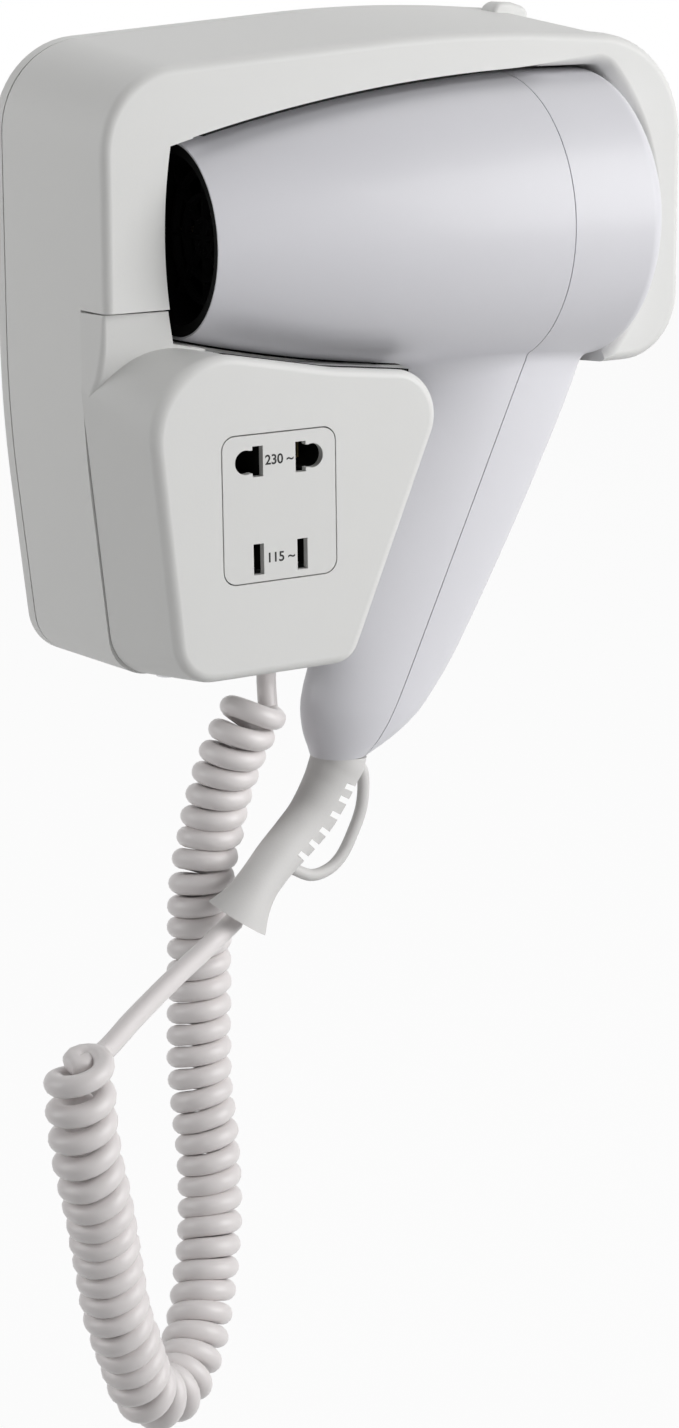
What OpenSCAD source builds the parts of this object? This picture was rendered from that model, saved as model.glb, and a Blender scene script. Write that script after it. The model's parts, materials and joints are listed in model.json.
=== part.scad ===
// Wall-mounted hair dryer: holder with shaver socket, gun-shaped handset, curly cord.
// Millimetres. Origin on the wall face. +X right, +Y into the wall, +Z up.

/* [Holder] */
// Width of the holder at the wall
base_w = 180; // [176:1:190]
// Height of the holder above the origin
base_up = 81; // [78:1:86]
// Depth of the holder below the origin
base_down = 85; // [84:1:92]
// How far the right wing reaches below the origin
wing_down = 16; // [12:1:20]
// Distance from the wall to the front face
base_depth = 56; // [54:1:60]
// How much narrower each side is at the front face
side_draft = 3; // [1:0.5:5]
// How much lower the top is at the front face
top_draft = 5.6; // [3:0.2:7]
// Radius of the upper corners at the wall
top_corner_r = 29; // [22:1:32]
// Radius of the lower corners
low_corner_r = 13; // [9:1:16]
// Radius of the front edges
edge_r = 4; // [2.5:0.5:5]
// Wall of the mouldings
wall_t = 2.2; // [1.8:0.1:2.6]

/* [Wall plate] */
// Height of the plate's rim
plate_rim = 4; // [3:0.5:5]
// Thickness of the plate's web
plate_web = 1.5; // [1.2:0.1:2]
// Spacing of the two upper wall screws
upper_span = 120; // [100:2:124]
// Height of the upper wall screws
upper_z = 62; // [58:1:64]
// Spacing of the two lower wall screws
lower_span = 40; // [36:1:44]
// Height of the lower wall screws
lower_z = -70; // [-72:1:-68]
// Radius of the wall screw holes
wall_hole_r = 2.25; // [1.75:0.25:2.5]
// Radius of the supply cable's hole
entry_r = 6; // [5:0.5:7]

/* [Lower cover and socket] */
// Height of the joint between housing and cover
joint_z = 12; // [10:0.5:14]
// Distance from the wall to the side joint
joint_y = 43.5; // [42:0.5:45]
// Distance from the wall to the socket face
box_depth = 68; // [66:0.5:72]
// Gap in the joints between mouldings
seam_gap = 0.3; // [0.2:0.05:0.4]
// Width of the socket plate
socket_w = 32.5; // [31:0.5:34]
// Height of the socket plate
socket_h = 37.5; // [36:0.5:39]
// Thickness of the socket plate
socket_t = 2; // [1.6:0.1:2.4]
// Distance of the round-pin inlets from the centre line
round_pin_x = 9.6; // [9:0.1:10]
// Radius of the round ends of the inlets
round_pin_r = 3.1; // [2.8:0.1:3.3]
// Distance between the two flat-pin slots
flat_pin_span = 12.7; // [12:0.1:13.4]
// Height of the flat-pin slots
flat_pin_h = 8; // [7:0.1:8.4]

/* [Barrel] */
// Distance of the barrel's axis from the wall
axis_y = 43; // [42:0.5:45]
// Height of the barrel's axis
axis_z = 27.5; // [26:0.5:29]
// Largest radius of the barrel
barrel_r = 38.4; // [37:0.1:38.6]
// Radius of the long curve of the barrel's outline
belly_r = 447; // [420:1:480]
// Distance from the largest radius to the air outlet
nozzle_len = 109; // [104:1:112]
// Position of the largest radius
belly_x = 47; // [46:0.5:48]
// Length of the rounded rear cap
cap_len = 30; // [28:1:32]
// Wall of the handset's shells
shell_t = 2; // [1.6:0.1:2.4]
// Clearance around the handset in the holder
dock_gap = 0.5; // [0.4:0.1:0.8]

/* [Handle] */
// Lean of the handle from the vertical
lean = 24; // [23:0.5:25]
// Half depth of the handle at its middle
handle_b = 14.4; // [13.5:0.25:15]
// Height of the handle's lower end
handle_end = -113; // [-114:0.5:-112]

/* [Works] */
// Radius of the motor
motor_r = 13.8; // [12:0.2:15]
// Length of the motor
motor_len = 30; // [28:1:32]
// Radius of the motor's shaft
shaft_r = 1.15; // [1:0.05:1.5]
// Radial clearance of the shaft in its bearings
shaft_play = 0.05; // [0.03:0.01:0.08]
// Radius of the fan
fan_r = 31; // [29:0.5:32]
// Number of fan blades
fan_blades = 7; // [5:1:9]
// Number of heater windings
heater_turns = 7; // [5:1:8]
// Travel of the switch slide
switch_travel = 10; // [8:0.5:12]
// Travel of the rest plunger
plunger_travel = 2.5; // [2:0.1:3]

/* [Cord] */
// Diameter of the cord
cord_d = 5.3; // [5:0.1:5.6]
// Outer diameter of the curly part
coil_d = 17.6; // [17:0.2:18.2]

/* [Hidden] */
$fn = 64;
e = 0.01;

plastic = [0.86, 0.86, 0.85];
pearl = [0.82, 0.82, 0.86];
black = [0.05, 0.05, 0.05];
white = [0.93, 0.92, 0.92];
brass = [0.78, 0.63, 0.33];
steel = [0.7, 0.7, 0.72];

// ---------- outlines and lofts ----------

function unit(v) = v / norm(v);
function left_of(v) = [-v[1], v[0]];
function before(c, i) = c[(i + len(c) - 1) % len(c)];
function after(c, i) = c[(i + 1) % len(c)];

// +1 at an outer corner, -1 at an inner one
function turn(c, i) = let (u = c[i] - before(c, i), w = after(c, i) - c[i])
  sign(u[0] * w[1] - u[1] * w[0]);

// corners of an anticlockwise outline, the edge after corner i moved inward by d[i]
function inset(c, d) = [for (i = [0:len(c) - 1])
  let (n = left_of(unit(c[i] - before(c, i))), m = left_of(unit(after(c, i) - c[i])),
       a = before(d, i), b = d[i], k = n * m)
  c[i] + (a == b ? (n + m) * a / (1 + k)
    : (n * (a - k * b) + m * (b - k * a)) / (1 - k * k))];

// the outline with corner i rounded to radius r[i], in k steps
function rounded(c, r, k) = [for (i = [0:len(c) - 1])
  let (u = unit(before(c, i) - c[i]), w = unit(after(c, i) - c[i]),
       half = acos(u * w) / 2,
       centre = c[i] + unit(u + w) * r[i] / sin(half),
       from = c[i] + u * r[i] / tan(half) - centre,
       sweep = turn(c, i) * (180 - 2 * half))
  for (j = [0:k]) let (a = sweep * j / k)
    centre + [from[0] * cos(a) - from[1] * sin(a), from[0] * sin(a) + from[1] * cos(a)]];

// rounded outline, its edges first moved inward by d
function drawn_in(c, r, d, k) =
  rounded(inset(c, d), [for (i = [0:len(c) - 1]) max(r[i] - turn(c, i) * min(d[i], before(d, i)), 0.6)], k);

function at_y(outline, y) = [for (p = outline) [p[0], y, p[1]]];

// solid through rings of equal count, each anticlockwise when seen from the last one's side
module loft(rings) {
  n = len(rings[0]);
  last = (len(rings) - 1) * n;
  polyhedron(points = [for (r = rings) each r], convexity = 8,
    faces = concat([[for (j = [0:n - 1]) j]],
      [[for (j = [n - 1:-1:0]) last + j]],
      [for (i = [0:len(rings) - 2], j = [0:n - 1]) each
        [[i * n + j, (i + 1) * n + j, (i + 1) * n + (j + 1) % n],
         [i * n + j, (i + 1) * n + (j + 1) % n, i * n + (j + 1) % n]]]));
}

// ---------- tubes along a route ----------

function mix(a, b, t) = a * (1 - t) + b * t;
// point at t on the smooth curve between p[i] and p[i + 1]
function smooth(p, i, t) =
  let (a = p[max(i - 1, 0)], b = p[i], c = p[i + 1], d = p[min(i + 2, len(p) - 1)])
  0.5 * (2 * b + (c - a) * t + (2 * a - 5 * b + 4 * c - d) * t * t
    + (3 * b - a - 3 * c + d) * t * t * t);
function curve(p, k) = concat([for (i = [0:len(p) - 2], j = [0:k - 1]) smooth(p, i, j / k)],
  [p[len(p) - 1]]);
function heading(p, i) = unit(p[min(i + 1, len(p) - 1)] - p[max(i - 1, 0)]);
function aside(h, ref) = unit(ref - h * (ref * h));
// ring i of a tube: radius r, n sides, first side towards ref
function ring_at(p, i, r, n, ref) = let (h = heading(p, i), u = aside(h, ref), v = cross(h, u))
  [for (j = [0:n - 1]) p[i] + r * (u * cos(360 * j / n) + v * sin(360 * j / n))];
module tube(p, r, n, ref = [0, 1, 0]) {
  loft([for (i = [0:len(p) - 1]) ring_at(p, i, is_list(r) ? r[i] : r, n, ref)]);
}

// ---------- holder ----------

// foot of the slope beside the handle
slope_foot = -25;
// the first corner sees all the others, so the flat ends fan out from it
base_corners = [
  [-base_w / 2 + 0.6, base_up - 6],
  [-base_w / 2 - 0.8, -18],
  [-base_w / 2 + 5.8, -base_down],
  [slope_foot, -base_down],
  [slope_foot + (base_down - wing_down) * tan(lean - 1), -wing_down],
  [base_w / 2, -wing_down],
  [base_w / 2, base_up - 2.6],
  [20, base_up + 1.9]];
base_radii = [top_corner_r - 5, 350, low_corner_r, low_corner_r - 3, 8, 20, top_corner_r + 1, 420];
// how far each edge has come in at the front face
low_draft = 2.6;
wing_draft = 4;
base_drafts = [side_draft, side_draft, low_draft, 1.4, wing_draft, side_draft, top_draft, top_draft];
function base_ring(y, d, k) =
  at_y(drawn_in(base_corners, base_radii, [for (q = base_drafts) q * -y / base_depth + d], k), y);

// the holder's outer form behind its front face, with rounded front edges
module base_form(back) {
  loft(concat([base_ring(-back, 0, 4)], [for (a = [0:30:90])
    base_ring(-(base_depth - edge_r + edge_r * sin(a)), edge_r * (1 - cos(a)), 4)]));
}
// the hollow inside it
module base_hollow(back) {
  loft([base_ring(-back, wall_t, 2), base_ring(-base_depth + wall_t, wall_t, 2)]);
}

box_low = -base_down + 1.8;
box_corners = [
  [-80.4, box_low],
  [slope_foot + 3.2, box_low],
  [slope_foot + 34.6, -9.8],
  [-30, -5.3],
  [-62, 0.9],
  [-88.6, 2.4]];
box_radii = [low_corner_r, low_corner_r - 4, 11.5, 60, 30, 14];
box_drafts = [1.8, 3.4, -1, -1, -1, 5.9];
box_edge_r = edge_r - 1.6;
function box_ring(y, d, k) = let (s = (-y - joint_y) / (box_depth - joint_y))
  at_y(drawn_in(box_corners, box_radii, [for (q = box_drafts) q * s + d], k), y);

// the socket box, from the side joint to its face
module box_form() {
  loft(concat([box_ring(-joint_y - seam_gap, 0, 4)], [for (a = [0:30:90])
    box_ring(-(box_depth - box_edge_r + box_edge_r * sin(a)), box_edge_r * (1 - cos(a)), 4)]));
}

// the column under the joint: [height, depth of its front at the left], falling back downwards
column_rows = [[-13, 46.4], [-8, 47.8], [-4, 50.4], [2, 52.2], [joint_z - seam_gap, 53.3]];
module column_form() {
  side = -base_w / 2;
  right = nozzle_x + 2;
  loft([for (p = column_rows)
    [[side + 1.3, -joint_y - seam_gap, p[0]], [side + 2.4, 1.8 - p[1], p[0]], [side + 4.1, -p[1], p[0]],
      [right, -base_depth, p[0]], [right, -joint_y - seam_gap, p[0]]]]);
}
module column_hollow() {
  side = -base_w / 2 + wall_t + 2;
  right = bay_left - wall_t;
  loft([for (z = [-7, joint_z + 1]) let (d = z < 0 ? 45.4 : 50.4)
    [[side, -joint_y + 1, z], [side, -d, z], [right, -d - 1, z], [right, -joint_y + 1, z]]]);
}
module box_hollow() {
  loft([box_ring(-joint_y + 1, wall_t, 2), box_ring(-box_depth + wall_t, wall_t, 2)]);
}

// ---------- the space that the docked handset needs ----------

// the handset comes out forward and rises this much for each millimetre
rise = 0.05;
nozzle_x = belly_x - nozzle_len;
cap_x = belly_x + cap_len;
function belly(x) = barrel_r - belly_r + sqrt(belly_r * belly_r - pow(x - belly_x, 2));

// half outline of the barrel grown by g, from the outlet to the rear end, as [x, radius]
// the rear end is a rounded edge and a shallow dome; a is the normal's angle from the radius
cap_side = 12.4;
cap_edge = 4.5;
cap_rise = cap_len - cap_side;
dome_r = (pow(cap_rise, 2) + pow(barrel_r - cap_edge, 2) - pow(cap_edge, 2)) / (2 * (cap_rise - cap_edge));
dome_from = atan2(dome_r - cap_rise, barrel_r - cap_edge);
function cap_r(a) = a < dome_from
  ? [belly_x + cap_side + cap_edge * sin(a), barrel_r - cap_edge + cap_edge * cos(a)]
  : [cap_x - dome_r + dome_r * sin(a), dome_r * cos(a)];
cap_turns = [0, 15, 30, 45, 54, 63, 72, 81];
function barrel_outline(g, x0 = nozzle_x) = concat(
  [for (i = [0:14]) let (x = mix(x0, belly_x, i / 14)) [x, belly(x) + g]],
  [for (a = cap_turns) cap_r(a) + g * [sin(a), cos(a)]]);

module along_axis() { translate([0, -axis_y, axis_z]) rotate([90, 0, 90]) children(); }
// solid of revolution about the barrel's axis from [x, radius] points
module turned(p) {
  along_axis() rotate_extrude() polygon([for (q = p) [q[1], q[0]]]);
}
module barrel_solid(g, x0 = nozzle_x) {
  o = barrel_outline(g, x0);
  turned(concat([[x0, 0]], o, [[cap_x + g, 0]]));
}

// outline for the space around it, with fewer points
function room_outline(g) = concat(
  [for (i = [0:4]) let (x = mix(nozzle_x, belly_x, i / 4)) [x, belly(x) + g]],
  [for (a = cap_turns) cap_r(a) + g * [sin(a), cos(a)]]);

// room in front of the air outlet, its left side bowed
outlet_room = 8;
bay_left = nozzle_x - outlet_room - dock_gap;
bay_back = 17;
bay_h = 25.6;
module outlet_bay(g) {
  left = nozzle_x - outlet_room - g;
  translate([0, -bay_back + g, axis_z]) rotate([90, 0, 0]) linear_extrude(height = 70) polygon(concat(
    [[nozzle_x + 6, -bay_h - g], [nozzle_x + 6, bay_h + g]],
    [for (i = [1:-0.25:-1]) [left + 2.2 * i * i, (bay_h + g) * i]]));
}

// everything the barrel passes through, from the docked place to the front
module barrel_room(g) {
  o = room_outline(g);
  n = len(o) - 1;
  turned(concat([[nozzle_x - 3, 0], [nozzle_x - 3, belly(nozzle_x) + g]], o, [[cap_x + g, 0]]));
  translate([0, -axis_y, axis_z]) rotate([90 - atan(rise), 0, 0]) translate([0, 0, -5])
    linear_extrude(height = 60) polygon(concat([for (i = [0:n]) [o[i][0], -o[i][1] - 0.1]],
      [[cap_x + g, 0]], [for (i = [n:-1:0]) [o[i][0], o[i][1] + 0.1]]));
  outlet_bay(g);
}

// ---------- handset form ----------

// [height, left edge, right edge, half depth] of the handle
handle_rows = [
  [axis_z - 16, 16.4, 67.6, handle_b + 1.4],
  [-13, 8.9, 60.6, handle_b + 0.8],
  [-43, -2.9, 46.1, handle_b + 0.4],
  [-64, -12, 34.7, handle_b],
  [-80, -18.9, 25.5, handle_b - 0.3],
  [-90, -23, 19.3, handle_b - 0.5],
  [-98, -25.1, 13.2, handle_b - 0.9],
  [-103, -25.2, 8.8, handle_b - 1.7],
  [-107.5, -24.5, 2.9, handle_b - 3.2],
  [-110.5, -23.5, -2.3, handle_b - 4.8],
  [handle_end, -22.8, -7, 8]];
function handle_ring(q, g, n) = let (a = (q[2] - q[1]) / 2 + g, b = q[3] + g)
  [for (j = [0:n - 1]) let (t = 360 * j / n)
    [(q[1] + q[2]) / 2 + a * cos(t), -axis_y - b * sin(t), q[0]]];
module handle_solid(g, n = 40) {
  loft([for (q = handle_rows) handle_ring(q, g, n)]);
}

// the joint of the two shells, seen from the side
seam_x = 35;
seam_low = -9;
function seam_at(z) = seam_x + min(z - seam_low, 0) * tan(lean);
module rear_side(gap) {
  low = handle_end - 20;
  translate([0, -axis_y, 0]) rotate([90, 0, 0]) linear_extrude(height = 3 * barrel_r, center = true)
    polygon([[seam_at(low) + gap, low], [200, low], [200, 120], [seam_x + gap, 120],
      [seam_x + gap, seam_low]]);
}

// room for the handle below the barrel, open at the front
slot_gap = 1.6;
slot_low = -32;
slot_high = axis_z - 16;
slot_back = axis_y - handle_b - 2 - slot_gap;
function handle_left(z) = lookup(z, [for (q = handle_rows) [q[0], q[1]]]);
function handle_right(z) = lookup(z, [for (q = handle_rows) [q[0], q[2]]]);
slot_mid = -13;
module handle_slot(g) {
  d = slot_gap + g;
  levels = [slot_low, slot_mid, slot_high];
  translate([0, -slot_back + g, 0]) rotate([90, 0, 0]) linear_extrude(height = 70) polygon(concat(
    [for (z = levels) [handle_right(z) + d, z]],
    [for (i = [2:-1:0]) [handle_left(levels[i]) - d, levels[i]]]));
}

// ---------- holder parts ----------

lug_xz = [[-62, 0], [52, 0]];
lug_screw_r = 1.45;
lug_play = 0.05;
lug_y = 9;
function base_bottom(x, y) = x < 0 ? -base_down + low_draft * -y / base_depth
  : -wing_down + wing_draft * -y / base_depth;

module plate_lug(x) {
  z0 = base_bottom(x, -lug_y) + wall_t + 0.3;
  difference() {
    translate([x - 5, -lug_y - 4, z0]) cube([10, lug_y + 3.4, 9]);
    translate([x, -lug_y, z0 - e]) cylinder(r = lug_screw_r + lug_play, h = 9 + 2 * e);
  }
}

module wall_plate() color(plastic) {
  difference() {
    loft([base_ring(0, 0, 4), base_ring(-plate_rim + 0.3, 0, 4)]);
    loft([base_ring(-plate_web, wall_t, 2), base_ring(-plate_rim - 1, wall_t, 2)]);
    for (s = [-1, 1]) {
      translate([s * upper_span / 2, 1, upper_z]) rotate([90, 0, 0]) cylinder(r = wall_hole_r, h = 9);
      translate([lower_x + s * lower_span / 2, 1, lower_z]) rotate([90, 0, 0])
        cylinder(r = wall_hole_r, h = 9);
    }
    translate([entry_x, 1, entry_z]) rotate([90, 0, 0]) cylinder(r = entry_r, h = 9);
  }
  for (p = lug_xz) plate_lug(p[0]);
  // pillars under the transformer
  for (sx = [-1, 1], sz = [-1, 1])
    translate([core_x + sx * (core_w / 2 - 4), -plate_web + e, core_z + sz * (core_h / 2 - 4)])
      rotate([90, 0, 0]) cylinder(r = 3, h = core_y - core_t / 2 - plate_web + e);
}
lower_x = -52;
entry_x = -70;
entry_z = -8;

// the part of space that belongs to the lower cover
module cover_zone(gap) {
  translate([-120, -120, -120]) cube([134, 120 - joint_y + gap, 120 + joint_z + gap]);
}

// top latch: a low hooked tab at the rear of the top face
latch_x = 57;
latch_w = 13;
module latch_tab() {
  translate([latch_x, -plate_rim - 0.5, base_up - 12]) rotate([90, 0, 0]) linear_extrude(height = 9)
    polygon([[0, 0], [latch_w, 0], [latch_w, 12.4], [latch_w - 2.5, 14.2], [2.5, 15], [0, 13]]);
}

trough_pad = 13;
module upper_housing() color(plastic) difference() {
  union() {
    difference() {
      base_form(plate_rim);
      difference() {
        base_hollow(plate_rim - 1);
        barrel_room(dock_gap + wall_t);
        handle_slot(wall_t);
      }
    }
    translate([-12, -plate_rim - 1, axis_z - trough_pad])
      cube([cap_x + dock_gap + wall_t + 12, plate_rim - 1.4, 2 * trough_pad]);
    latch_tab();
  }
  barrel_room(dock_gap);
  handle_slot(0);
  cover_zone(0);
  for (p = lug_xz) translate([p[0], -lug_y, base_bottom(p[0], -lug_y) - 3])
    cylinder(r = lug_screw_r + 0.4, h = 8);
  translate([gland_x, -gland_y, -base_down - 2]) cylinder(r = gland_r + 0.1, h = 10);
  plunger_hole(0.1);
}
cover_screw_x = [-70, -38];
// screw bosses behind the cover's bottom wall
boss_z = -base_down + 1.8 + wall_t;
// where the heads of the cover screws sit, up in the bottom wall
cover_seat = -base_down + 4;

module lower_cover() color(plastic) difference() {
  union() {
    column_form();
    box_form();
  }
  difference() {
    box_hollow();
    translate([socket_x - socket_w / 2 - 3, -box_depth, socket_z - socket_h / 2 - 3])
      cube([socket_w + 6, 9, socket_h + 6]);
    for (x = cover_screw_x) translate([x - 5, -joint_y - 12, boss_z - 3]) cube([10, 10, 10]);
  }
  column_hollow();
  outlet_bay(dock_gap);
  translate([socket_x, -box_depth, socket_z]) rounded_block(socket_w + 0.4, socket_h + 0.4, 3.7, 2 * socket_t);
  translate([socket_x - block_w / 2 - 0.2, -box_depth + socket_t - e, socket_z - block_h / 2 - 0.2])
    cube([block_w + 0.4, 20, block_h + 0.4]);
  for (x = cover_screw_x) translate([x, -joint_y - 7, -base_down - 2]) {
    cylinder(r = lug_screw_r + lug_play, h = 14);
    cylinder(r = 3.1, h = cover_seat + base_down + 2);
  }
}

// ---------- shaver socket ----------

// centre of the socket plate
socket_x = -46;
socket_z = -38;
round_pin_z = 12;
flat_pin_z = -13;
block_w = socket_w - 5;
block_h = socket_h - 5;
block_t = 15;

// a block with rounded corners, centred on Y, thick along Y
module rounded_block(w, h, r, t) {
  rotate([90, 0, 0]) linear_extrude(height = t, center = true) polygon(rounded(
    [[-w / 2, -h / 2], [w / 2, -h / 2], [w / 2, h / 2], [-w / 2, h / 2]], [r, r, r, r], 6));
}
module inlet_holes(depth, grow) {
  for (s = [-1, 1]) {
    translate([s * round_pin_x, 0, round_pin_z]) rotate([90, 0, 0]) {
      cylinder(r = round_pin_r + grow, h = depth, center = true);
      translate([-s * 2.3, 0, 0]) cube([4.6, 2 * round_pin_r + 2 * grow, depth], center = true);
      translate([-s * 3.4, 0, 0]) cube([3, 7.8 + 2 * grow, depth], center = true);
    }
    translate([s * flat_pin_span / 2, 0, flat_pin_z])
      cube([3 + grow, depth, flat_pin_h + grow], center = true);
  }
}
module socket_plate() color(plastic) translate([socket_x, -box_depth + socket_t / 2, socket_z])
  difference() {
    rounded_block(socket_w, socket_h, 3.5, socket_t);
    inlet_holes(2 * socket_t, 0);
  }
module socket_block() color(black) difference() {
  translate([socket_x - block_w / 2, -box_depth + socket_t, socket_z - block_h / 2])
    cube([block_w, block_t, block_h]);
  translate([socket_x, -box_depth + socket_t, socket_z]) inlet_holes(2 * (block_t - 3), 0.4);
}
// folded contact leaves at the back of each chamber
module leaf(w, h, len_) {
  rotate([90, 0, 0]) linear_extrude(height = len_)
    polygon([[-w / 2, -h / 2], [w / 2, -h / 2], [w / 2, h / 2], [w / 2 - 0.5, h / 2],
      [w / 2 - 0.5, -h / 2 + 0.5], [-w / 2 + 0.5, -h / 2 + 0.5], [-w / 2 + 0.5, h / 2], [-w / 2, h / 2]]);
}
contact_back = -box_depth + socket_t + block_t - 3;
module round_pin_contacts() color(brass) for (s = [-1, 1])
  translate([socket_x + s * round_pin_x, contact_back, socket_z + round_pin_z]) leaf(4.6, 4.6, 3);
module flat_pin_contacts() color(brass) for (s = [-1, 1])
  translate([socket_x + s * flat_pin_span / 2, contact_back, socket_z + flat_pin_z])
    leaf(2.4, 6, 5);

// ---------- transformer and wiring ----------

core_x = -48;
core_z = -37;
core_w = 42;
core_h = 35;
core_t = 16;
core_y = 24;
leg = 12;
module transformer_core() color(steel) translate([core_x, -core_y, core_z]) difference() {
  cube([core_w, core_t, core_h], center = true);
  for (s = [-1, 1]) translate([s * (leg / 2 + (core_w / 2 - leg / 2 - 7) / 2), 0, 0])
    cube([core_w / 2 - leg / 2 - 7, core_t + 2, core_h - 13], center = true);
}
module transformer_winding() color([0.75, 0.6, 0.2]) translate([core_x, -core_y, core_z]) {
  difference() {
    rounded_box(core_w - 14.6, core_t + 15, core_h - 13.6, 3);
    cube([leg + 0.6, core_t + 0.6, core_h], center = true);
  }
}
module rounded_box(w, t, h, r) {
  linear_extrude(height = h, center = true) polygon(rounded(
    [[-w / 2, -t / 2], [w / 2, -t / 2], [w / 2, t / 2], [-w / 2, t / 2]], [r, r, r, r], 6));
}
module terminal_block() color(white) difference() {
  x = -base_w / 2 + 6;
  translate([x, -14.5, 14]) cube([10, 14.5 - plate_web, 30]);
  for (i = [0:2]) translate([x + 5, -15, 19 + 10 * i]) rotate([-90, 0, 0]) cylinder(r = 2.2, h = 6);
}

// ---------- rest switch ----------

plunger_x = -42;
plunger_r = 2;
plunger_z = axis_z;
plunger_len = 5;
// the tip stays clear of the docked barrel
plunger_tip = -axis_y + belly(plunger_x + plunger_r) + 0.15;
module plunger_hole(play) translate([plunger_x, -axis_y, plunger_z]) rotate([-90, 0, 0])
  cylinder(r = plunger_r + play, h = 36);
module rest_plunger() color(white) translate([plunger_x, plunger_tip, plunger_z]) rotate([-90, 0, 0])
  cylinder(r = plunger_r, h = plunger_len);
module rest_switch() color(black) {
  face = plunger_tip + plunger_len + plunger_travel + 0.2;
  translate([plunger_x - 6, face, plunger_z - 6]) cube([12, -plate_web - face, 12]);
}

// ---------- cord entry in the holder ----------

gland_x = -33;
gland_y = 36;
gland_r = 4.6;
gland_z = -base_down - 4;
gland_face = -83.9;
gland_top = base_bottom(-1, -gland_y) + wall_t + 2.6;
module cord_gland() color(white) difference() {
  union() {
    translate([gland_x, -gland_y, gland_z + 2.2]) cylinder(r = gland_r, h = gland_top - gland_z - 2.2);
    translate([gland_x, -gland_y, gland_z]) cylinder(r1 = 4, r2 = 6.2, h = gland_face - gland_z);
    translate([gland_x, -gland_y, gland_top - 1.4]) cylinder(r = gland_r + 0.8, h = 1.4);
  }
  translate([gland_x, -gland_y, gland_z + 4]) cylinder(r = cord_d / 2, h = 20);
}
module base_cord_clamp() color(white) difference() {
  translate([gland_x - 6, -gland_y - 4, gland_top]) cube([12, 8, 6]);
  translate([gland_x, -gland_y, -100]) cylinder(r = cord_d / 2, h = 50);
}
module housing_screws() color(steel) for (p = lug_xz)
  translate([p[0], -lug_y, base_bottom(p[0], -lug_y) - 1.9]) {
    cylinder(r = 3, h = 1.6);
    cylinder(r = lug_screw_r, h = 10);
  }
module cover_screws() color(steel) for (x = cover_screw_x)
  translate([x, -joint_y - 7, cover_seat - 1.2]) {
    cylinder(r = 3, h = 1.2);
    cylinder(r = lug_screw_r, h = 9);
  }

// ---------- handset shells ----------

module handset_outer() { barrel_solid(0); handle_solid(0); }
module handset_inner() {
  barrel_solid(-shell_t, nozzle_x - 1);
  intersection() {
    handle_solid(-shell_t);
    translate([-100, -100, handle_end + shell_t]) cube([200, 200, 200]);
  }
}
module relief_seat(g) { tube([for (i = [0:1]) relief_path[i]], relief_r[0] - 2 + g, 24); }

// screw places on the joint of the shells, local +Z towards the main shell
shell_screw_z = [-84, -50];
shell_screw_r = 1.4;
screw_boss_r = 3.4;
screw_seat = 4;
module at_screw(z) translate([seam_at(z), -axis_y, z]) rotate([0, lean - 90, 0]) children();
function to_left(z) = (seam_at(z) - handle_left(z)) * cos(lean) - shell_t / 2;
function to_right(z) = (handle_right(z) - seam_at(z)) * cos(lean) - shell_t / 2;

module main_shell() color(pearl) difference() {
  union() {
    difference() {
      handset_outer();
      handset_inner();
    }
    for (z = shell_screw_z) at_screw(z) cylinder(r = screw_boss_r, h = to_left(z));
  }
  rear_side(-seam_gap / 2);
  for (z = shell_screw_z) at_screw(z) cylinder(r = shell_screw_r + lug_play, h = 10);
  relief_socket();
}
module relief_socket() translate([relief_path[0][0], -axis_y, handle_end - 2])
  cylinder(r = relief_plug_r + 0.1, h = 30);

// switch position on the rear of the handle
switch_at = [52.8, -axis_y, -28.5];
switch_lean = 27;
module at_switch() translate(switch_at) rotate([0, switch_lean, 0]) children();
skirt = 12.2;
pocket_half = skirt + switch_travel / 2 + 0.5;
pocket_deep = 2.6;

slot_ring_w = 3;
slot_ring_pitch = 5.6;
spokes = 10;
module inlet_slots() difference() {
  for (i = [0:3]) let (r = 9 + slot_ring_pitch * i)
    turned([[cap_x - 13, r], [cap_x + 4, r], [cap_x + 4, r + slot_ring_w], [cap_x - 13, r + slot_ring_w]]);
  for (k = [0:spokes - 1]) along_axis() rotate([0, 0, 360 * k / spokes])
    translate([0, -1.1, cap_x - 14]) cube([40, 2.2, 20]);
}
module rear_shell() color(pearl) difference() {
  union() {
    difference() {
      handset_outer();
      handset_inner();
    }
    for (z = shell_screw_z) at_screw(z) mirror([0, 0, 1])
      cylinder(r = screw_boss_r, h = to_right(z));
    intersection() {
      handle_solid(0);
      at_switch() translate([-pocket_deep - shell_t, -10, -pocket_half - 3])
        cube([shell_t, 20, 2 * pocket_half + 6]);
    }
  }
  difference() {
    translate([-150, -150, -150]) cube([300, 300, 300]);
    rear_side(seam_gap / 2);
  }
  for (z = shell_screw_z) at_screw(z) mirror([0, 0, 1]) {
    cylinder(r = shell_screw_r + lug_play, h = 10);
    translate([0, 0, screw_seat]) cylinder(r = 2.5, h = 40);
  }
  inlet_slots();
  at_switch() {
    translate([-pocket_deep, -4.2, -pocket_half]) cube([12, 8.4, 2 * pocket_half]);
    translate([-9, -2, -switch_travel / 2 - 3.4]) cube([20, 4, switch_travel + 6.8]);
  }
  relief_socket();
}
module inlet_screen() color(black) difference() {
  turned([[cap_x - 11, 4], [cap_x - 10, 4], [cap_x - 10, 27.6], [cap_x - 11, 27.6]]);
  for (i = [0:2]) let (r = 8 + 6 * i) difference() {
    turned([[cap_x - 12, r], [cap_x - 9, r], [cap_x - 9, r + 4.6], [cap_x - 12, r + 4.6]]);
    for (k = [0:11]) along_axis() rotate([0, 0, 30 * k]) translate([0, -0.5, cap_x - 14])
      cube([40, 1, 20]);
  }
}

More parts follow.
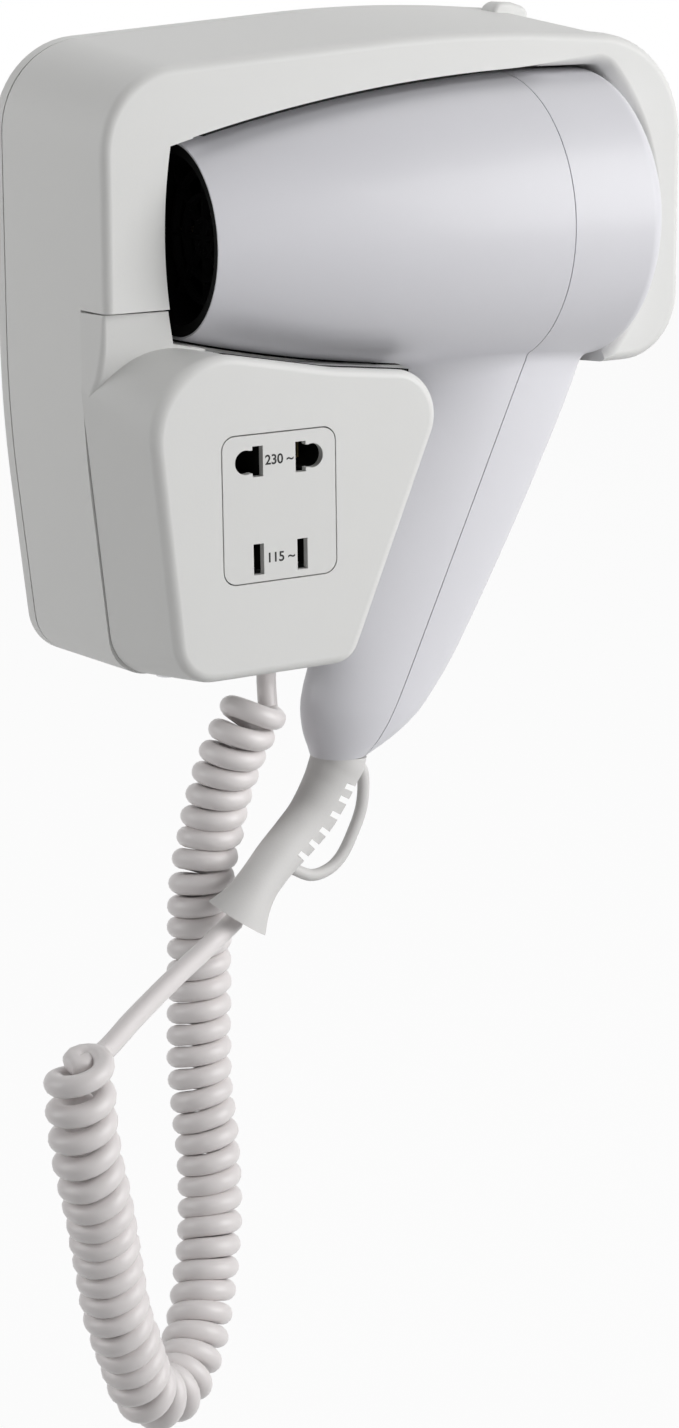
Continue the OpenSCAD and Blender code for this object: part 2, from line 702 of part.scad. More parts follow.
liner_t = 1.4;
liner_len = 34;
function liner_r(x) = belly(x) - shell_t - 0.2;
module nozzle_liner() color(black) turned(concat(
  [for (i = [0:6]) let (x = nozzle_x + 1 + liner_len * i / 6) [x, liner_r(x)]],
  [for (i = [6:-1:0]) let (x = nozzle_x + 1 + liner_len * i / 6) [x, liner_r(x) - liner_t]]));
grille_x = nozzle_x + 9;
module outlet_grille() color(black) intersection() {
  union() {
    for (r = [4, 10, 16]) turned([[grille_x, r], [grille_x + 2, r], [grille_x + 2, r + 1.2],
      [grille_x, r + 1.2]]);
    for (k = [0:3]) along_axis() rotate([0, 0, 45 * k]) translate([-40, -0.6, grille_x])
      cube([80, 1.2, 2]);
  }
  turned([[grille_x - 5, 0], [grille_x - 5, liner_r(grille_x) - liner_t - 0.05],
    [grille_x + 5, liner_r(grille_x) - liner_t - 0.05], [grille_x + 5, 0]]);
}

// ---------- heater ----------

heat_x0 = nozzle_x + 14;
heat_x1 = heat_x0 + 50;
heat_r = 18;
coil_wire = 0.9;
function turn_x(i) = heat_x0 + 7 + (heat_x1 - heat_x0 - 14) * i / (heater_turns - 1);
module heater_frame() color([0.8, 0.75, 0.6]) difference() {
  intersection() {
    along_axis() for (k = [0, 90]) rotate([0, 0, k])
      translate([-40, -0.4, heat_x0]) cube([80, 0.8, heat_x1 - heat_x0]);
    turned(concat([[heat_x0 - 1, 0]], [for (i = [0:4]) let (x = mix(heat_x0 - 1, heat_x1 + 1, i / 4))
      [x, liner_r(x) - liner_t - 0.1]], [[heat_x1 + 1, 0]]));
  }
  for (i = [0:heater_turns - 1]) turned([for (a = [0:30:330])
    [turn_x(i) + (coil_wire + 0.1) * cos(a), heat_r + (coil_wire + 0.1) * sin(a)]]);
  thermostat_room(0.1);
}
module heater_coil() color([0.6, 0.55, 0.5]) for (i = [0:heater_turns - 1])
  turned([for (a = [0:30:330]) [turn_x(i) + coil_wire * cos(a), heat_r + coil_wire * sin(a)]]);
module thermostat_room(g) translate([heat_x1 - 14 - g, -axis_y - 3 - g, axis_z + 5 - g])
  cube([10 + 2 * g, 6 + 2 * g, 8 + 2 * g]);
module thermostat() color(steel) thermostat_room(0);

// ---------- motor and fan ----------

motor_x = heat_x1 + 2;
fan_x = motor_x + motor_len + 4;
fan_len = 11;
module motor() color(steel) difference() {
  union() {
    turned([[motor_x, 0], [motor_x, motor_r - 1], [motor_x + 1, motor_r], [motor_x + motor_len - 1, motor_r],
      [motor_x + motor_len, motor_r - 1], [motor_x + motor_len, 0]]);
    turned([[motor_x + motor_len - e, 0], [motor_x + motor_len - e, 4.5], [motor_x + motor_len + 2, 4.5],
      [motor_x + motor_len + 2, 0]]);
  }
  turned([[motor_x + 6, 0], [motor_x + 6, shaft_r + shaft_play],
    [motor_x + motor_len + 3, shaft_r + shaft_play], [motor_x + motor_len + 3, 0]]);
}
mount_r = fan_r + 1;
module motor_mount() color(black) difference() {
  union() {
    // shroud around the fan
    turned([[fan_x - 12, mount_r], [fan_x + fan_len + 2, mount_r], [fan_x + fan_len + 2, mount_r + 1.6],
      [fan_x - 12, mount_r + 1.6]]);
    // cup that grips the motor
    turned([[motor_x + 6, motor_r], [motor_x + motor_len, motor_r], [motor_x + motor_len, motor_r + 1.6],
      [motor_x + 6, motor_r + 1.6]]);
    // guide vanes
    for (k = [0:5]) along_axis() rotate([0, 0, 60 * k + 15])
      translate([motor_r + 0.8, -0.7, fan_x - 12]) rotate([0, 0, 0]) cube([mount_r - motor_r, 1.4, 9]);
    // three pads that locate the shroud in the shell
    for (k = [0:2]) along_axis() rotate([0, 0, 120 * k + 90]) intersection() {
      translate([mount_r + 1, -4, fan_x - 8]) cube([20, 8, 6]);
      translate([0, 0, fan_x - 9]) cylinder(r = belly(fan_x - 6) - shell_t - 0.25, h = 8);
    }
  }
}
module motor_shaft() color(steel) turned([[motor_x + 6.5, 0], [motor_x + 6.5, shaft_r],
  [fan_x + fan_len + 1, shaft_r], [fan_x + fan_len + 1, 0]]);
module fan() color(white) difference() {
  union() {
    turned([[fan_x, 0], [fan_x, 8], [fan_x + fan_len - 2, 8], [fan_x + fan_len, 5], [fan_x + fan_len, 0]]);
    intersection() {
      for (k = [0:fan_blades - 1]) along_axis() rotate([0, 0, 360 * k / fan_blades])
        translate([0, 0, fan_x + fan_len / 2]) rotate([38, 0, 0])
          translate([6, -0.6, -8]) cube([30, 1.2, 16]);
      turned([[fan_x, 0], [fan_x, fan_r], [fan_x + fan_len - 1, fan_r], [fan_x + fan_len - 1, 0]]);
    }
  }
  turned([[fan_x - 1, 0], [fan_x - 1, shaft_r + 0.01], [fan_x + fan_len + 2, shaft_r + 0.01],
    [fan_x + fan_len + 2, 0]]);
}

// ---------- switch ----------

module switch_body() color(black) at_switch() difference() {
  translate([-pocket_deep - shell_t - 9, -5.5, -13]) cube([9, 11, 26]);
  translate([-pocket_deep - shell_t - 4, -2, -switch_travel / 2 - 3.4]) cube([5, 4, switch_travel + 6.8]);
}
module switch_slider() color(plastic) at_switch() translate([0, 0, -switch_travel / 2]) {
  translate([-pocket_deep + 0.3, -3.8, -skirt]) cube([0.8, 7.6, 2 * skirt]);
  translate([-pocket_deep + 1.1 - e, 0, 0]) rotate([90, 0, 90]) {
    linear_extrude(height = 1.2) polygon(rounded([[-3.2, -7], [3.2, -7], [3.2, 7], [-3.2, 7]],
      [1.5, 1.5, 1.5, 1.5], 5));
    for (i = [-2:2]) translate([-2.4, 2.2 * i - 0.5, 1.1]) cube([4.8, 1, 0.6]);
  }
  translate([-pocket_deep - shell_t - 3, -1.6, -3]) cube([shell_t + 3.4, 3.2, 6]);
}

// ---------- strain relief and hanging loop ----------

relief_path = curve([[-15, -43, handle_end], [-15.5, -43, handle_end - 2.3], [-16.8, -43, -118],
  [-19.3, -43.2, -122.5],
  [-24.4, -44.2, -128.8], [-30.8, -46.2, -133.2], [-38, -49.2, -137], [-43, -51.5, -140],
  [-47, -53.4, -142.6], [-50.6, -55, -145.6], [-54.5, -56.5, -149]], 2);
relief_radii = [7.7, 7.6, 7.2, 6.9, 6.6, 6.3, 6.0, 5.8, 5.9, 6.7, 8.7];
relief_r = [for (i = [0:len(relief_path) - 1]) let (k = floor(i / 2))
  mix(relief_radii[k], relief_radii[min(k + 1, 10)], i / 2 - k)];
relief_plug_r = 5.4;
notches = 6;
loop_r = 1.65;
loop_path = curve([[-10, -43, handle_end - 3], [-7.4, -43, -120], [-7.9, -43, -129], [-11.3, -43.4, -136.5],
  [-15.2, -44, -142], [-20, -44.8, -144.8], [-26, -45.8, -145], [-32.5, -47, -141.5]], 3);
module strain_relief() color(plastic) difference() {
  union() {
    difference() {
      union() {
        tube(relief_path, relief_r, 28);
        tube(loop_path, loop_r, 12);
      }
      translate([-40, -axis_y - 20, handle_end]) cube([60, 40, 20]);
    }
    translate([relief_path[0][0], -axis_y, handle_end - 1]) cylinder(r = relief_plug_r, h = 10);
    translate([relief_path[0][0], -axis_y, handle_end + 8.9]) cylinder(r = relief_plug_r + 0.8, h = 1.6);
  }
  for (i = [0:notches - 1]) let (k = 5 + i * 1.5, a = floor(k),
      p = mix(relief_path[a], relief_path[a + 1], k - a),
      h = unit(relief_path[a + 1] - relief_path[a]), tilt = atan2(h[0], h[2]))
    translate(p) rotate([0, tilt, 0]) translate([-9.2, -12, -0.9]) cube([5, 24, 1.8]);
  translate([relief_path[0][0], -axis_y, handle_end + 1]) cylinder(r = cord_d / 2, h = 20);
}
module handle_cord_clamp() color(white) difference() {
  translate([relief_path[0][0] - 5.5, -axis_y - 5, handle_end + 10.8]) cube([12.5, 10, 5]);
  translate([relief_path[0][0], -axis_y, handle_end]) cylinder(r = cord_d / 2, h = 30);
}
module shell_screws() color(steel) for (z = shell_screw_z) at_screw(z) {
  translate([0, 0, -screw_seat - e]) cylinder(r = shell_screw_r, h = screw_seat + 9);
  translate([0, 0, -screw_seat - 1.6]) cylinder(r = 2.4, h = 1.6);
}

// ---------- curly cord ----------

coil_route = [[-34, -36, -102], [-38, -35.5, -106.5], [-42, -35, -111.5], [-45, -35, -116.5],
  [-47.5, -35, -122], [-50.5, -35, -132], [-53.5, -35, -144], [-54.5, -35, -158],
  [-55.5, -36, -172], [-57, -38, -187], [-58, -40, -200], [-58, -43, -215], [-59, -46, -231],
  [-62, -50, -243], [-66, -54, -254], [-70, -58, -261], [-75, -62.5, -267], [-81, -67.5, -270.5],
  [-88, -73, -270.5], [-94.5, -77.5, -266.5], [-99, -80.5, -260], [-102, -82.5, -252],
  [-104.5, -84, -245], [-107, -85, -238], [-108.5, -86, -231], [-110, -87, -223],
  [-111.5, -88, -215], [-113, -89.5, -208], [-115, -91, -200], [-117, -92, -192],
  [-118.5, -93, -184], [-119.5, -94, -176], [-120, -95, -168]];
base_lead_route = [[gland_x, -gland_y, gland_z], [-33, -36, -92], [-33, -36, -95.5],
  [-34, -36, -102]];
handset_lead_route = [[-119.5, -95.3, -164.5], [-111, -90.5, -161], [-98, -81.5, -159], [-82, -71.5, -156.5],
  [-67, -62.5, -153.2], [-55.4, -56.9, -149.8]];
module cord_lead_base() color(white) tube([for (i = [0:2]) base_lead_route[i]], cord_d / 2, 10);
module cord_coil() color(white) tube(coil_route, coil_d / 2, 12);
module cord_lead_handset() color(white) tube(handset_lead_route, cord_d / 2, 10);

wall_plate();
upper_housing();
lower_cover();
socket_plate();
socket_block();
round_pin_contacts();
flat_pin_contacts();
transformer_core();
transformer_winding();
terminal_block();
rest_switch();
rest_plunger();
cord_gland();
base_cord_clamp();
housing_screws();
cover_screws();
main_shell();
rear_shell();
inlet_screen();
nozzle_liner();
outlet_grille();
heater_frame();
heater_coil();
thermostat();
motor();
motor_mount();
motor_shaft();
fan();
switch_body();
switch_slider();
strain_relief();
handle_cord_clamp();
shell_screws();
cord_lead_base();
cord_coil();
cord_lead_handset();
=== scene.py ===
"""Looks of a wall-mounted hair dryer: holder with shaver socket, docked dryer, curly cord.

Shapes are worked out in millimetres, in the part's frame, and stored in metres.
"""

import json
import math

import bmesh
import bpy
from mathutils import Matrix, Vector


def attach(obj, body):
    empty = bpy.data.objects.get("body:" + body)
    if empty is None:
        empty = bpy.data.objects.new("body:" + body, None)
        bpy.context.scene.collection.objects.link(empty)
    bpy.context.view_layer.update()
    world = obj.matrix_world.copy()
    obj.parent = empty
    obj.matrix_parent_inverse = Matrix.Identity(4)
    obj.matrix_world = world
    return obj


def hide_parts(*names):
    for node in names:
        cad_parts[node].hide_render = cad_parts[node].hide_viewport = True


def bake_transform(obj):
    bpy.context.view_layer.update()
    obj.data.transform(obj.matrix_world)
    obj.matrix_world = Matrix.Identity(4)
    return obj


MM = 0.001
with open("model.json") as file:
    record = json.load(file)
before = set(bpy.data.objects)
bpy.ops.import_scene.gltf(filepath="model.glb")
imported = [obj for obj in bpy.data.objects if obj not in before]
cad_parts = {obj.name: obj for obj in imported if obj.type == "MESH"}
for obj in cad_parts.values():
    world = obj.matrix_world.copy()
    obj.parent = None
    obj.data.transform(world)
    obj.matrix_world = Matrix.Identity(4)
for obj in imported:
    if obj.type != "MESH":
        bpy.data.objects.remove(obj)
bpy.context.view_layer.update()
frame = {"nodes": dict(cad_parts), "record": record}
nodes = frame["nodes"]


def at(*xyz):
    return Vector(xyz)


def spread(a, b, n):
    """n even steps from a to b."""
    return [a + (b - a) * i / n for i in range(n + 1)]


def clamp(t):
    """t kept within 0 and 1."""
    return min(max(t, 0), 1)


def ease(t):
    """0 up to 1 as t goes from 0 to 1, smooth at both ends."""
    t = clamp(t)
    return t * t * (3 - 2 * t)


# ---------- outlines ----------


def turn(corners, i):
    """+1 at an outer corner of an anticlockwise outline, -1 at an inner one."""
    a, b, c = corners[i - 1], corners[i], corners[(i + 1) % len(corners)]
    return math.copysign(1, (b - a).cross(c - b))


def inset(corners, shifts):
    """The outline with the edge after corner i moved inward by shifts[i]."""
    out = []
    for i, p in enumerate(corners):
        before = (p - corners[i - 1]).normalized()
        after = (corners[(i + 1) % len(corners)] - p).normalized()
        n, m = Vector((-before.y, before.x)), Vector((-after.y, after.x))
        a, b, k = shifts[i - 1], shifts[i], n.dot(m)
        if a == b:
            out.append(p + (n + m) * a / (1 + k))
        else:
            out.append(p + (n * (a - k * b) + m * (b - k * a)) / (1 - k * k))
    return out


def rounded(corners, radii, steps):
    """The outline with each corner turned into an arc."""
    out = []
    for i, p in enumerate(corners):
        u = (corners[i - 1] - p).normalized()
        w = (corners[(i + 1) % len(corners)] - p).normalized()
        half = u.angle(w) / 2
        centre = p + (u + w).normalized() * radii[i] / math.sin(half)
        start = p + u * radii[i] / math.tan(half) - centre
        sweep = turn(corners, i) * (math.pi - 2 * half)
        for j in range(steps + 1):
            a = sweep * j / steps
            out.append(centre + Matrix.Rotation(a, 2) @ start)
    return out


def drawn_in(corners, radii, shifts, steps):
    """The rounded outline with its edges moved inward, which tightens its outer corners."""
    corners = [Vector(c) for c in corners]
    radii = [
        max(r - turn(corners, i) * min(shifts[i], shifts[i - 1]), 0.6)
        for i, r in enumerate(radii)
    ]
    return rounded(inset(corners, shifts), radii, steps)


# ---------- lines ----------


def curve(points, steps):
    """A smooth curve through the points."""
    p = [Vector(q) for q in points]
    out = []
    for i in range(len(p) - 1):
        a, b, c, d = p[max(i - 1, 0)], p[i], p[i + 1], p[min(i + 2, len(p) - 1)]
        for j in range(steps):
            t = j / steps
            out.append(
                0.5
                * (
                    2 * b
                    + (c - a) * t
                    + (2 * a - 5 * b + 4 * c - d) * t * t
                    + (3 * b - a - 3 * c + d) * t**3
                )
            )
    out.append(p[-1])
    return out


def even(points, step):
    """The same line with points a step apart."""
    out, carry = [points[0].copy()], 0.0
    for a, b in zip(points, points[1:]):
        length = (b - a).length
        while carry + length >= step:
            t = (step - carry) / length
            a = a.lerp(b, t)
            length = (b - a).length
            out.append(a.copy())
            carry = 0.0
        carry += length
    return out


def frames(points, ref):
    """(heading, side, up) along a line, turned as little as possible from one to the next."""
    out, side = [], None
    for i, p in enumerate(points):
        h = (points[min(i + 1, len(points) - 1)] - points[max(i - 1, 0)]).normalized()
        base = ref if side is None else side
        side = (base - h * base.dot(h)).normalized()
        out.append((h, side, h.cross(side)))
    return out


# ---------- meshes ----------


def make(name, verts, faces):
    """A mesh object from points in millimetres."""
    mesh = bpy.data.meshes.new(name)
    mesh.from_pydata([Vector(v) * MM for v in verts], [], faces)
    mesh.validate()
    piece = bpy.data.objects.new(name, mesh)
    bpy.context.scene.collection.objects.link(piece)
    return piece


def loft(name, rings):
    """A closed skin through rings of equal count, flat at both ends."""
    n = len(rings[0])
    verts = [p for ring in rings for p in ring]
    faces = []
    for a in range(0, len(verts) - n, n):
        for j in range(n):
            k = (j + 1) % n
            faces.append((a + j, a + n + j, a + n + k, a + k))
    faces.append(tuple(range(n)))
    faces.append(tuple(range(len(verts) - 1, len(verts) - 1 - n, -1)))
    piece = make(name, verts, faces)
    face_outward(piece)
    return piece


def face_outward(piece):
    """Turns every face of a closed skin outward."""
    bm = bmesh.new()
    bm.from_mesh(piece.data)
    bmesh.ops.recalc_face_normals(bm, faces=bm.faces)
    bm.to_mesh(piece.data)
    bm.free()


def extruded(name, outline, y0, y1, tilt=0.0):
    """An outline in XZ drawn out from y0 to y1, rising by tilt for each millimetre forward."""
    rings = [[at(p[0], y, p[1] - tilt * y) for p in outline] for y in (y0, y1)]
    return loft(name, rings)


def on_axis(x, r, a):
    """A point at radius r and angle a about the barrel's axis."""
    return at(x, AXIS_Y - r * math.cos(a), AXIS_Z + r * math.sin(a))


def lathe(name, profile, steps=96, closed=False):
    """(x, radius) points turned about the barrel's axis. closed joins the last to the first."""
    verts, rows = [], []
    for j in range(steps):
        row = []
        for i, (x, r) in enumerate(profile):
            if r < 1e-6 and rows:
                row.append(rows[0][i])  # a point on the axis is shared by all rows
                continue
            row.append(len(verts))
            verts.append(on_axis(x, r, 2 * math.pi * j / steps))
        rows.append(row)
    faces = []
    for a, b in zip(rows, rows[1:] + rows[:1]):
        for i in range(len(profile) if closed else len(profile) - 1):
            k = (i + 1) % len(profile)
            face = list(dict.fromkeys((a[i], a[k], b[k], b[i])))
            if len(face) > 2:
                faces.append(face)
    piece = make(name, verts, faces)
    face_outward(piece)
    return piece


def box(name, low, high):
    x0, y0, z0 = low
    x1, y1, z1 = high
    ring = [(x0, z0), (x1, z0), (x1, z1), (x0, z1)]
    return extruded(name, ring, y1, y0)


def drill(name, centre, axis, radius, length, steps=40):
    """A cylinder centred on a point."""
    turned_to = Vector(axis).normalized().to_track_quat("Z", "Y").to_matrix()
    rings = []
    for end in (-length / 2, length / 2):
        ring = []
        for j in range(steps):
            a = 2 * math.pi * j / steps
            offset = at(radius * math.cos(a), radius * math.sin(a), end)
            ring.append(Vector(centre) + turned_to @ offset)
        rings.append(ring)
    return loft(name, rings)


def tube(name, points, radius, sides=16):
    """A round tube along a line. radius is a number or one for each point."""
    turns = [2 * math.pi * j / sides for j in range(sides)]
    rings = []
    for i, (p, (_, u, v)) in enumerate(zip(points, frames(points, Vector((0, 1, 0))))):
        r = radius if isinstance(radius, (int, float)) else radius[i]
        rings.append([p + r * (u * math.cos(a) + v * math.sin(a)) for a in turns])
    return loft(name, rings)


def bake(piece):
    """Applies the piece's modifiers."""
    graph = bpy.context.evaluated_depsgraph_get()
    mesh = bpy.data.meshes.new_from_object(piece.evaluated_get(graph))
    piece.modifiers.clear()
    old, piece.data = piece.data, mesh
    bpy.data.meshes.remove(old)
    return piece


def carve(piece, *cutters, how="DIFFERENCE"):
    """Cuts, joins or crops a piece by others, which are used up."""
    for cutter in cutters:
        modifier = piece.modifiers.new("carve", "BOOLEAN")
        modifier.operation, modifier.object, modifier.solver = how, cutter, "EXACT"
        bake(piece)
        bpy.data.objects.remove(cutter)
        if not piece.data.polygons:
            raise RuntimeError(f"{piece.name} is cut away")
    return piece


def soften(piece, width, segments=2, angle=35):
    """Rounds the sharp edges."""
    modifier = piece.modifiers.new("soften", "BEVEL")
    modifier.width, modifier.segments = width * MM, segments
    modifier.limit_method, modifier.angle_limit = "ANGLE", math.radians(angle)
    modifier.use_clamp_overlap = True
    return bake(piece)


def smooth(piece, angle=32):
    """Shades the piece smooth but for its sharp edges, with its flat faces kept flat."""
    piece.data.polygons.foreach_set("use_smooth", [True] * len(piece.data.polygons))
    piece.data.set_sharp_from_angle(angle=math.radians(angle))
    modifier = piece.modifiers.new("even", "WEIGHTED_NORMAL")
    modifier.weight, modifier.keep_sharp = 60, True
    return bake(piece)


def dress(piece, body, slot, material, *replaced):
    """Puts a finished piece in the frame."""
    piece.data.materials.clear()
    piece.data.materials.append(material)
    if body:
        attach(piece, body)
    if replaced:
        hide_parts(*replaced)
    return piece


# ---------- materials ----------

GRAIN_SIZE = 0.0006


def plastic(name, colour, rough, coat=0.0, mottle=0.02, grain=0.0, metal=0.0, spec=0.5):
    """Moulded plastic: a faint cloudiness of colour and gloss, and a fine skin texture."""
    material = bpy.data.materials.new(name)
    material.use_nodes = True
    tree = material.node_tree
    shader = tree.nodes["Principled BSDF"]
    shader.inputs["Metallic"].default_value = metal
    shader.inputs["IOR"].default_value = 1.49
    shader.inputs["Specular IOR Level"].default_value = spec
    shader.inputs["Coat Weight"].default_value = coat
    shader.inputs["Coat Roughness"].default_value = 0.12
    place = tree.nodes.new("ShaderNodeTexCoord")
    cloud = tree.nodes.new("ShaderNodeTexNoise")
    cloud.inputs["Scale"].default_value = 28
    cloud.inputs["Detail"].default_value = 3
    tree.links.new(place.outputs["Object"], cloud.inputs["Vector"])
    tint = tree.nodes.new("ShaderNodeMix")
    tint.data_type = "RGBA"
    tint.inputs["A"].default_value = (*[c * (1 - mottle) for c in colour], 1)
    tint.inputs["B"].default_value = (*[min(c * (1 + mottle), 1) for c in colour], 1)
    tree.links.new(cloud.outputs["Fac"], tint.inputs["Factor"])
    tree.links.new(tint.outputs["Result"], shader.inputs["Base Color"])
    gloss = tree.nodes.new("ShaderNodeMapRange")
    gloss.inputs["To Min"].default_value = rough * 0.9
    gloss.inputs["To Max"].default_value = rough * 1.1
    tree.links.new(cloud.outputs["Fac"], gloss.inputs["Value"])
    tree.links.new(gloss.outputs["Result"], shader.inputs["Roughness"])
    if grain:
        skin = tree.nodes.new("ShaderNodeTexNoise")
        skin.inputs["Scale"].default_value = 1 / GRAIN_SIZE
        skin.inputs["Detail"].default_value = 2
        tree.links.new(place.outputs["Object"], skin.inputs["Vector"])
        bump = tree.nodes.new("ShaderNodeBump")
        bump.inputs["Strength"].default_value = grain
        bump.inputs["Distance"].default_value = 0.0001
        tree.links.new(skin.outputs["Fac"], bump.inputs["Height"])
        tree.links.new(bump.outputs["Normal"], shader.inputs["Normal"])
    return material


holder_plastic = plastic("holder_plastic", (0.745, 0.745, 0.732), 0.48, grain=0.12)
plate_plastic = plastic("plate_plastic", (0.73, 0.73, 0.717), 0.45, grain=0.12)
dryer_plastic = plastic("dryer_plastic", (0.74, 0.737, 0.775), 0.42, coat=0.08, grain=0.06)
black_plastic = plastic("black_plastic", (0.003, 0.003, 0.003), 0.7, grain=0.2, spec=0.15)
slide_plastic = plastic("slide_plastic", (0.35, 0.35, 0.38), 0.4, grain=0.1)
soft_rubber = plastic("soft_rubber", (0.66, 0.65, 0.64), 0.6, grain=0.2)
cord_sheath = plastic("cord_sheath", (0.77, 0.735, 0.73), 0.36, coat=0.05, grain=0.08)
white_plastic = plastic("white_plastic", (0.75, 0.75, 0.73), 0.45)
mica = plastic("mica", (0.55, 0.45, 0.28), 0.5, mottle=0.15)
ink = plastic("ink", (0.01, 0.01, 0.01), 0.6)
steel = plastic("steel", (0.55, 0.55, 0.56), 0.35, metal=1.0)
brass = plastic("brass", (0.62, 0.48, 0.22), 0.3, metal=1.0)
copper = plastic("copper", (0.60, 0.27, 0.13), 0.35, metal=1.0)

BY_SLOT = {
    "base_plastic": holder_plastic,
    "white_plastic": white_plastic,
    "dryer_shell": dryer_plastic,
    "grey_button": slide_plastic,
    "black_plastic": black_plastic,
    "mica": mica,
    "heater_wire": steel,
    "steel": steel,
    "brass": brass,
    "copper": copper,
    "soft_relief": soft_rubber,
    "cord_sheath": cord_sheath,
}
for part in frame["record"]["subparts"]:
    mesh = nodes[part["node"]].data
    mesh.materials.clear()
    mesh.materials.append(BY_SLOT[part["material_slot"]])

# ---------- the part's dimensions ----------

# holder: outlines run anticlockwise from the lower left, each draft for the edge that follows
EDGE_R, DEPTH = 2.4, 56.0
PLATE_RIM, PLATE_GAP = 3.7, 0.55
BOX_DEPTH, BOX_EDGE_R = 68.0, 2.4
JOINT_Y, JOINT_Z, SEAM = 43.5, 12.0, 0.3
BASE_CORNERS = [
    (-84.2, -85), (-25, -85), (4.3, -16), (90, -16),
    (90, 78.4), (20, 82.9), (-89.4, 75), (-90.8, -18),
]
BASE_RADII = [13, 10, 8, 20, 30, 420, 24, 350]
BASE_DRAFTS = [2.6, 1.4, 4, 3, 5.6, 5.6, 3, 3]
BOX_CORNERS = [(-81.7, -83.2), (-21.8, -83.2), (9.6, -9.8), (-30, -5.3), (-90.2, 6.1)]
BOX_RADII = [13, 9, 11.5, 60]
# the upper left corner's radius at the joint, and how much it grows to the front
BOX_SWELL_FROM, BOX_SWELL = 12, 7.5
BOX_DRAFTS = [1.8, 3.4, -1, -1, 6.9]
# the column under the joint, from its foot up: height, left side, left edge's depth and radius
COLUMN_ROWS = [
    (-14.5, -88.1, 43.9, 0.1),
    (-11, -88.3, 45.6, 0.9),
    (-8, -88.4, 47.8, 1.8),
    (-4, -88.4, 50.4, 2),
    (2, -88.4, 52.2, 1.8),
    (7, -88.4, 52.9, 1.4),
    (JOINT_Z - 0.55, -88.4, 53.3, 1.2),
]
# how far the column's side leans in for each millimetre forward, and where it ends in the box
COLUMN_LEAN, COLUMN_END = 0.19, -60
LATCH = [
    (55.5, 70), (67, 70), (67, 79.9), (65, 81),
    (61.5, 82), (58.5, 82.2), (56.5, 81.6), (55.5, 80),
]
# the floor of the hollow beside the latch, left to right
HOLLOW = [
    (60, 79.8), (61, 79), (63, 78.4), (66, 78), (72, 77.8), (80, 78), (88, 78.6), (94, 79.4),
]
HOUSING_SCREWS, HOUSING_SCREW_R = ((-62, -90), (52, -20)), 3.1
WALL_SCREWS, WALL_SCREW_R = ((-60, 62), (60, 62), (-72, -70), (-32, -70)), 2.25
CABLE_HOLE, CABLE_HOLE_R = (-70, 0, -8), 6
SOCKET = at(-46, -68, -38)
SOCKET_W, SOCKET_H, SOCKET_T, SOCKET_R, SOCKET_GAP = 32.5, 37.5, 2.0, 3.5, 0.35
ROUND_X, ROUND_Z, ROUND_R, FLAT_X, FLAT_Z = 9.6, 12.0, 3.1, 6.35, 13.0
FIGURES_HIGH = 2.5
# barrel
AXIS_Y, AXIS_Z = -43.0, 27.5
BARREL_R, BELLY_R, BELLY_X = 38.4, 447.0, 47.0
NOZZLE_X, CAP_X = -62.0, 77.0
# the rear end: a rounded edge, then a shallow dome, with points at CAP_TURNS degrees
CAP_SIDE, CAP_EDGE = 12.4, 4.5
CAP_RISE = CAP_X - BELLY_X - CAP_SIDE
DOME_R = (CAP_RISE**2 + (BARREL_R - CAP_EDGE) ** 2 - CAP_EDGE**2) / (2 * (CAP_RISE - CAP_EDGE))
DOME_FROM = math.atan2(DOME_R - CAP_RISE, BARREL_R - CAP_EDGE)
CAP_TURNS = [0, 6, 12, 18, 24, 30, 36, 42, 47, 50, 55, 60, 65, 70, 75, 80, 85, 88, 90]
# RISE is how far the dryer rises for each millimetre that it is pulled
SHELL_T, DOCK_GAP, RISE = 2.0, 0.5, 0.05
BAY_BACK, BAY_H, BAY_LONG, BAY_BOW = 17.0, 23.8, 8, 2.2
# the way out flares over FLARE_DEEP, from none at x = 30 to FLARE_WIDE at x = 66
FLARE_FROM, FLARE_DEEP, FLARE_WIDE = -52, 4.01, 3
# handle, from the barrel down: height, left edge, right edge, half depth
HANDLE_ROWS = [
    (11.5, 16.4, 67.6, 15.8),
    (-13, 8.9, 60.6, 15.2),
    (-43, -2.9, 46.1, 14.8),
    (-64, -12, 34.7, 14.4),
    (-80, -18.9, 25.5, 14.1),
    (-90, -23, 19.3, 13.9),
    (-98, -25.1, 13.2, 13.5),
    (-103, -25.2, 8.8, 12.7),
    (-107.5, -24.5, 2.9, 11.2),
    (-110.5, -23.5, -2.3, 9.6),
    (-113, -22.8, -7, 8),
]
# the joint of the two shells: upright at SEAM_X, and leaning down the handle below SEAM_LOW
LEAN = math.radians(24)
SEAM_X, SEAM_LOW = 35.0, -9.0
SLOT_GAP, SLOT_BACK = 1.6, 25.0


def belly(x):
    """The barrel's radius in front of its cap, a long arc."""
    return BARREL_R - BELLY_R + math.sqrt(BELLY_R**2 - (x - BELLY_X) ** 2)


def cap_point(a, g=0.0):
    """A point of the rear end's outline grown by g, a the angle of its normal from the side."""
    if a < DOME_FROM:
        x, r, bend = BELLY_X + CAP_SIDE, BARREL_R - CAP_EDGE, CAP_EDGE
    else:
        x, r, bend = CAP_X - DOME_R, 0, DOME_R
    return x + (bend + g) * math.sin(a), r + (bend + g) * math.cos(a)


def barrel_radius(x):
    """The barrel's radius anywhere along it."""
    if x <= BELLY_X + CAP_SIDE:
        return belly(min(x, BELLY_X))
    out = x - BELLY_X - CAP_SIDE
    if out < CAP_EDGE * math.sin(DOME_FROM):
        return BARREL_R - CAP_EDGE + math.sqrt(CAP_EDGE**2 - out**2)
    return math.sqrt(max(DOME_R**2 - (x - CAP_X + DOME_R) ** 2, 0))


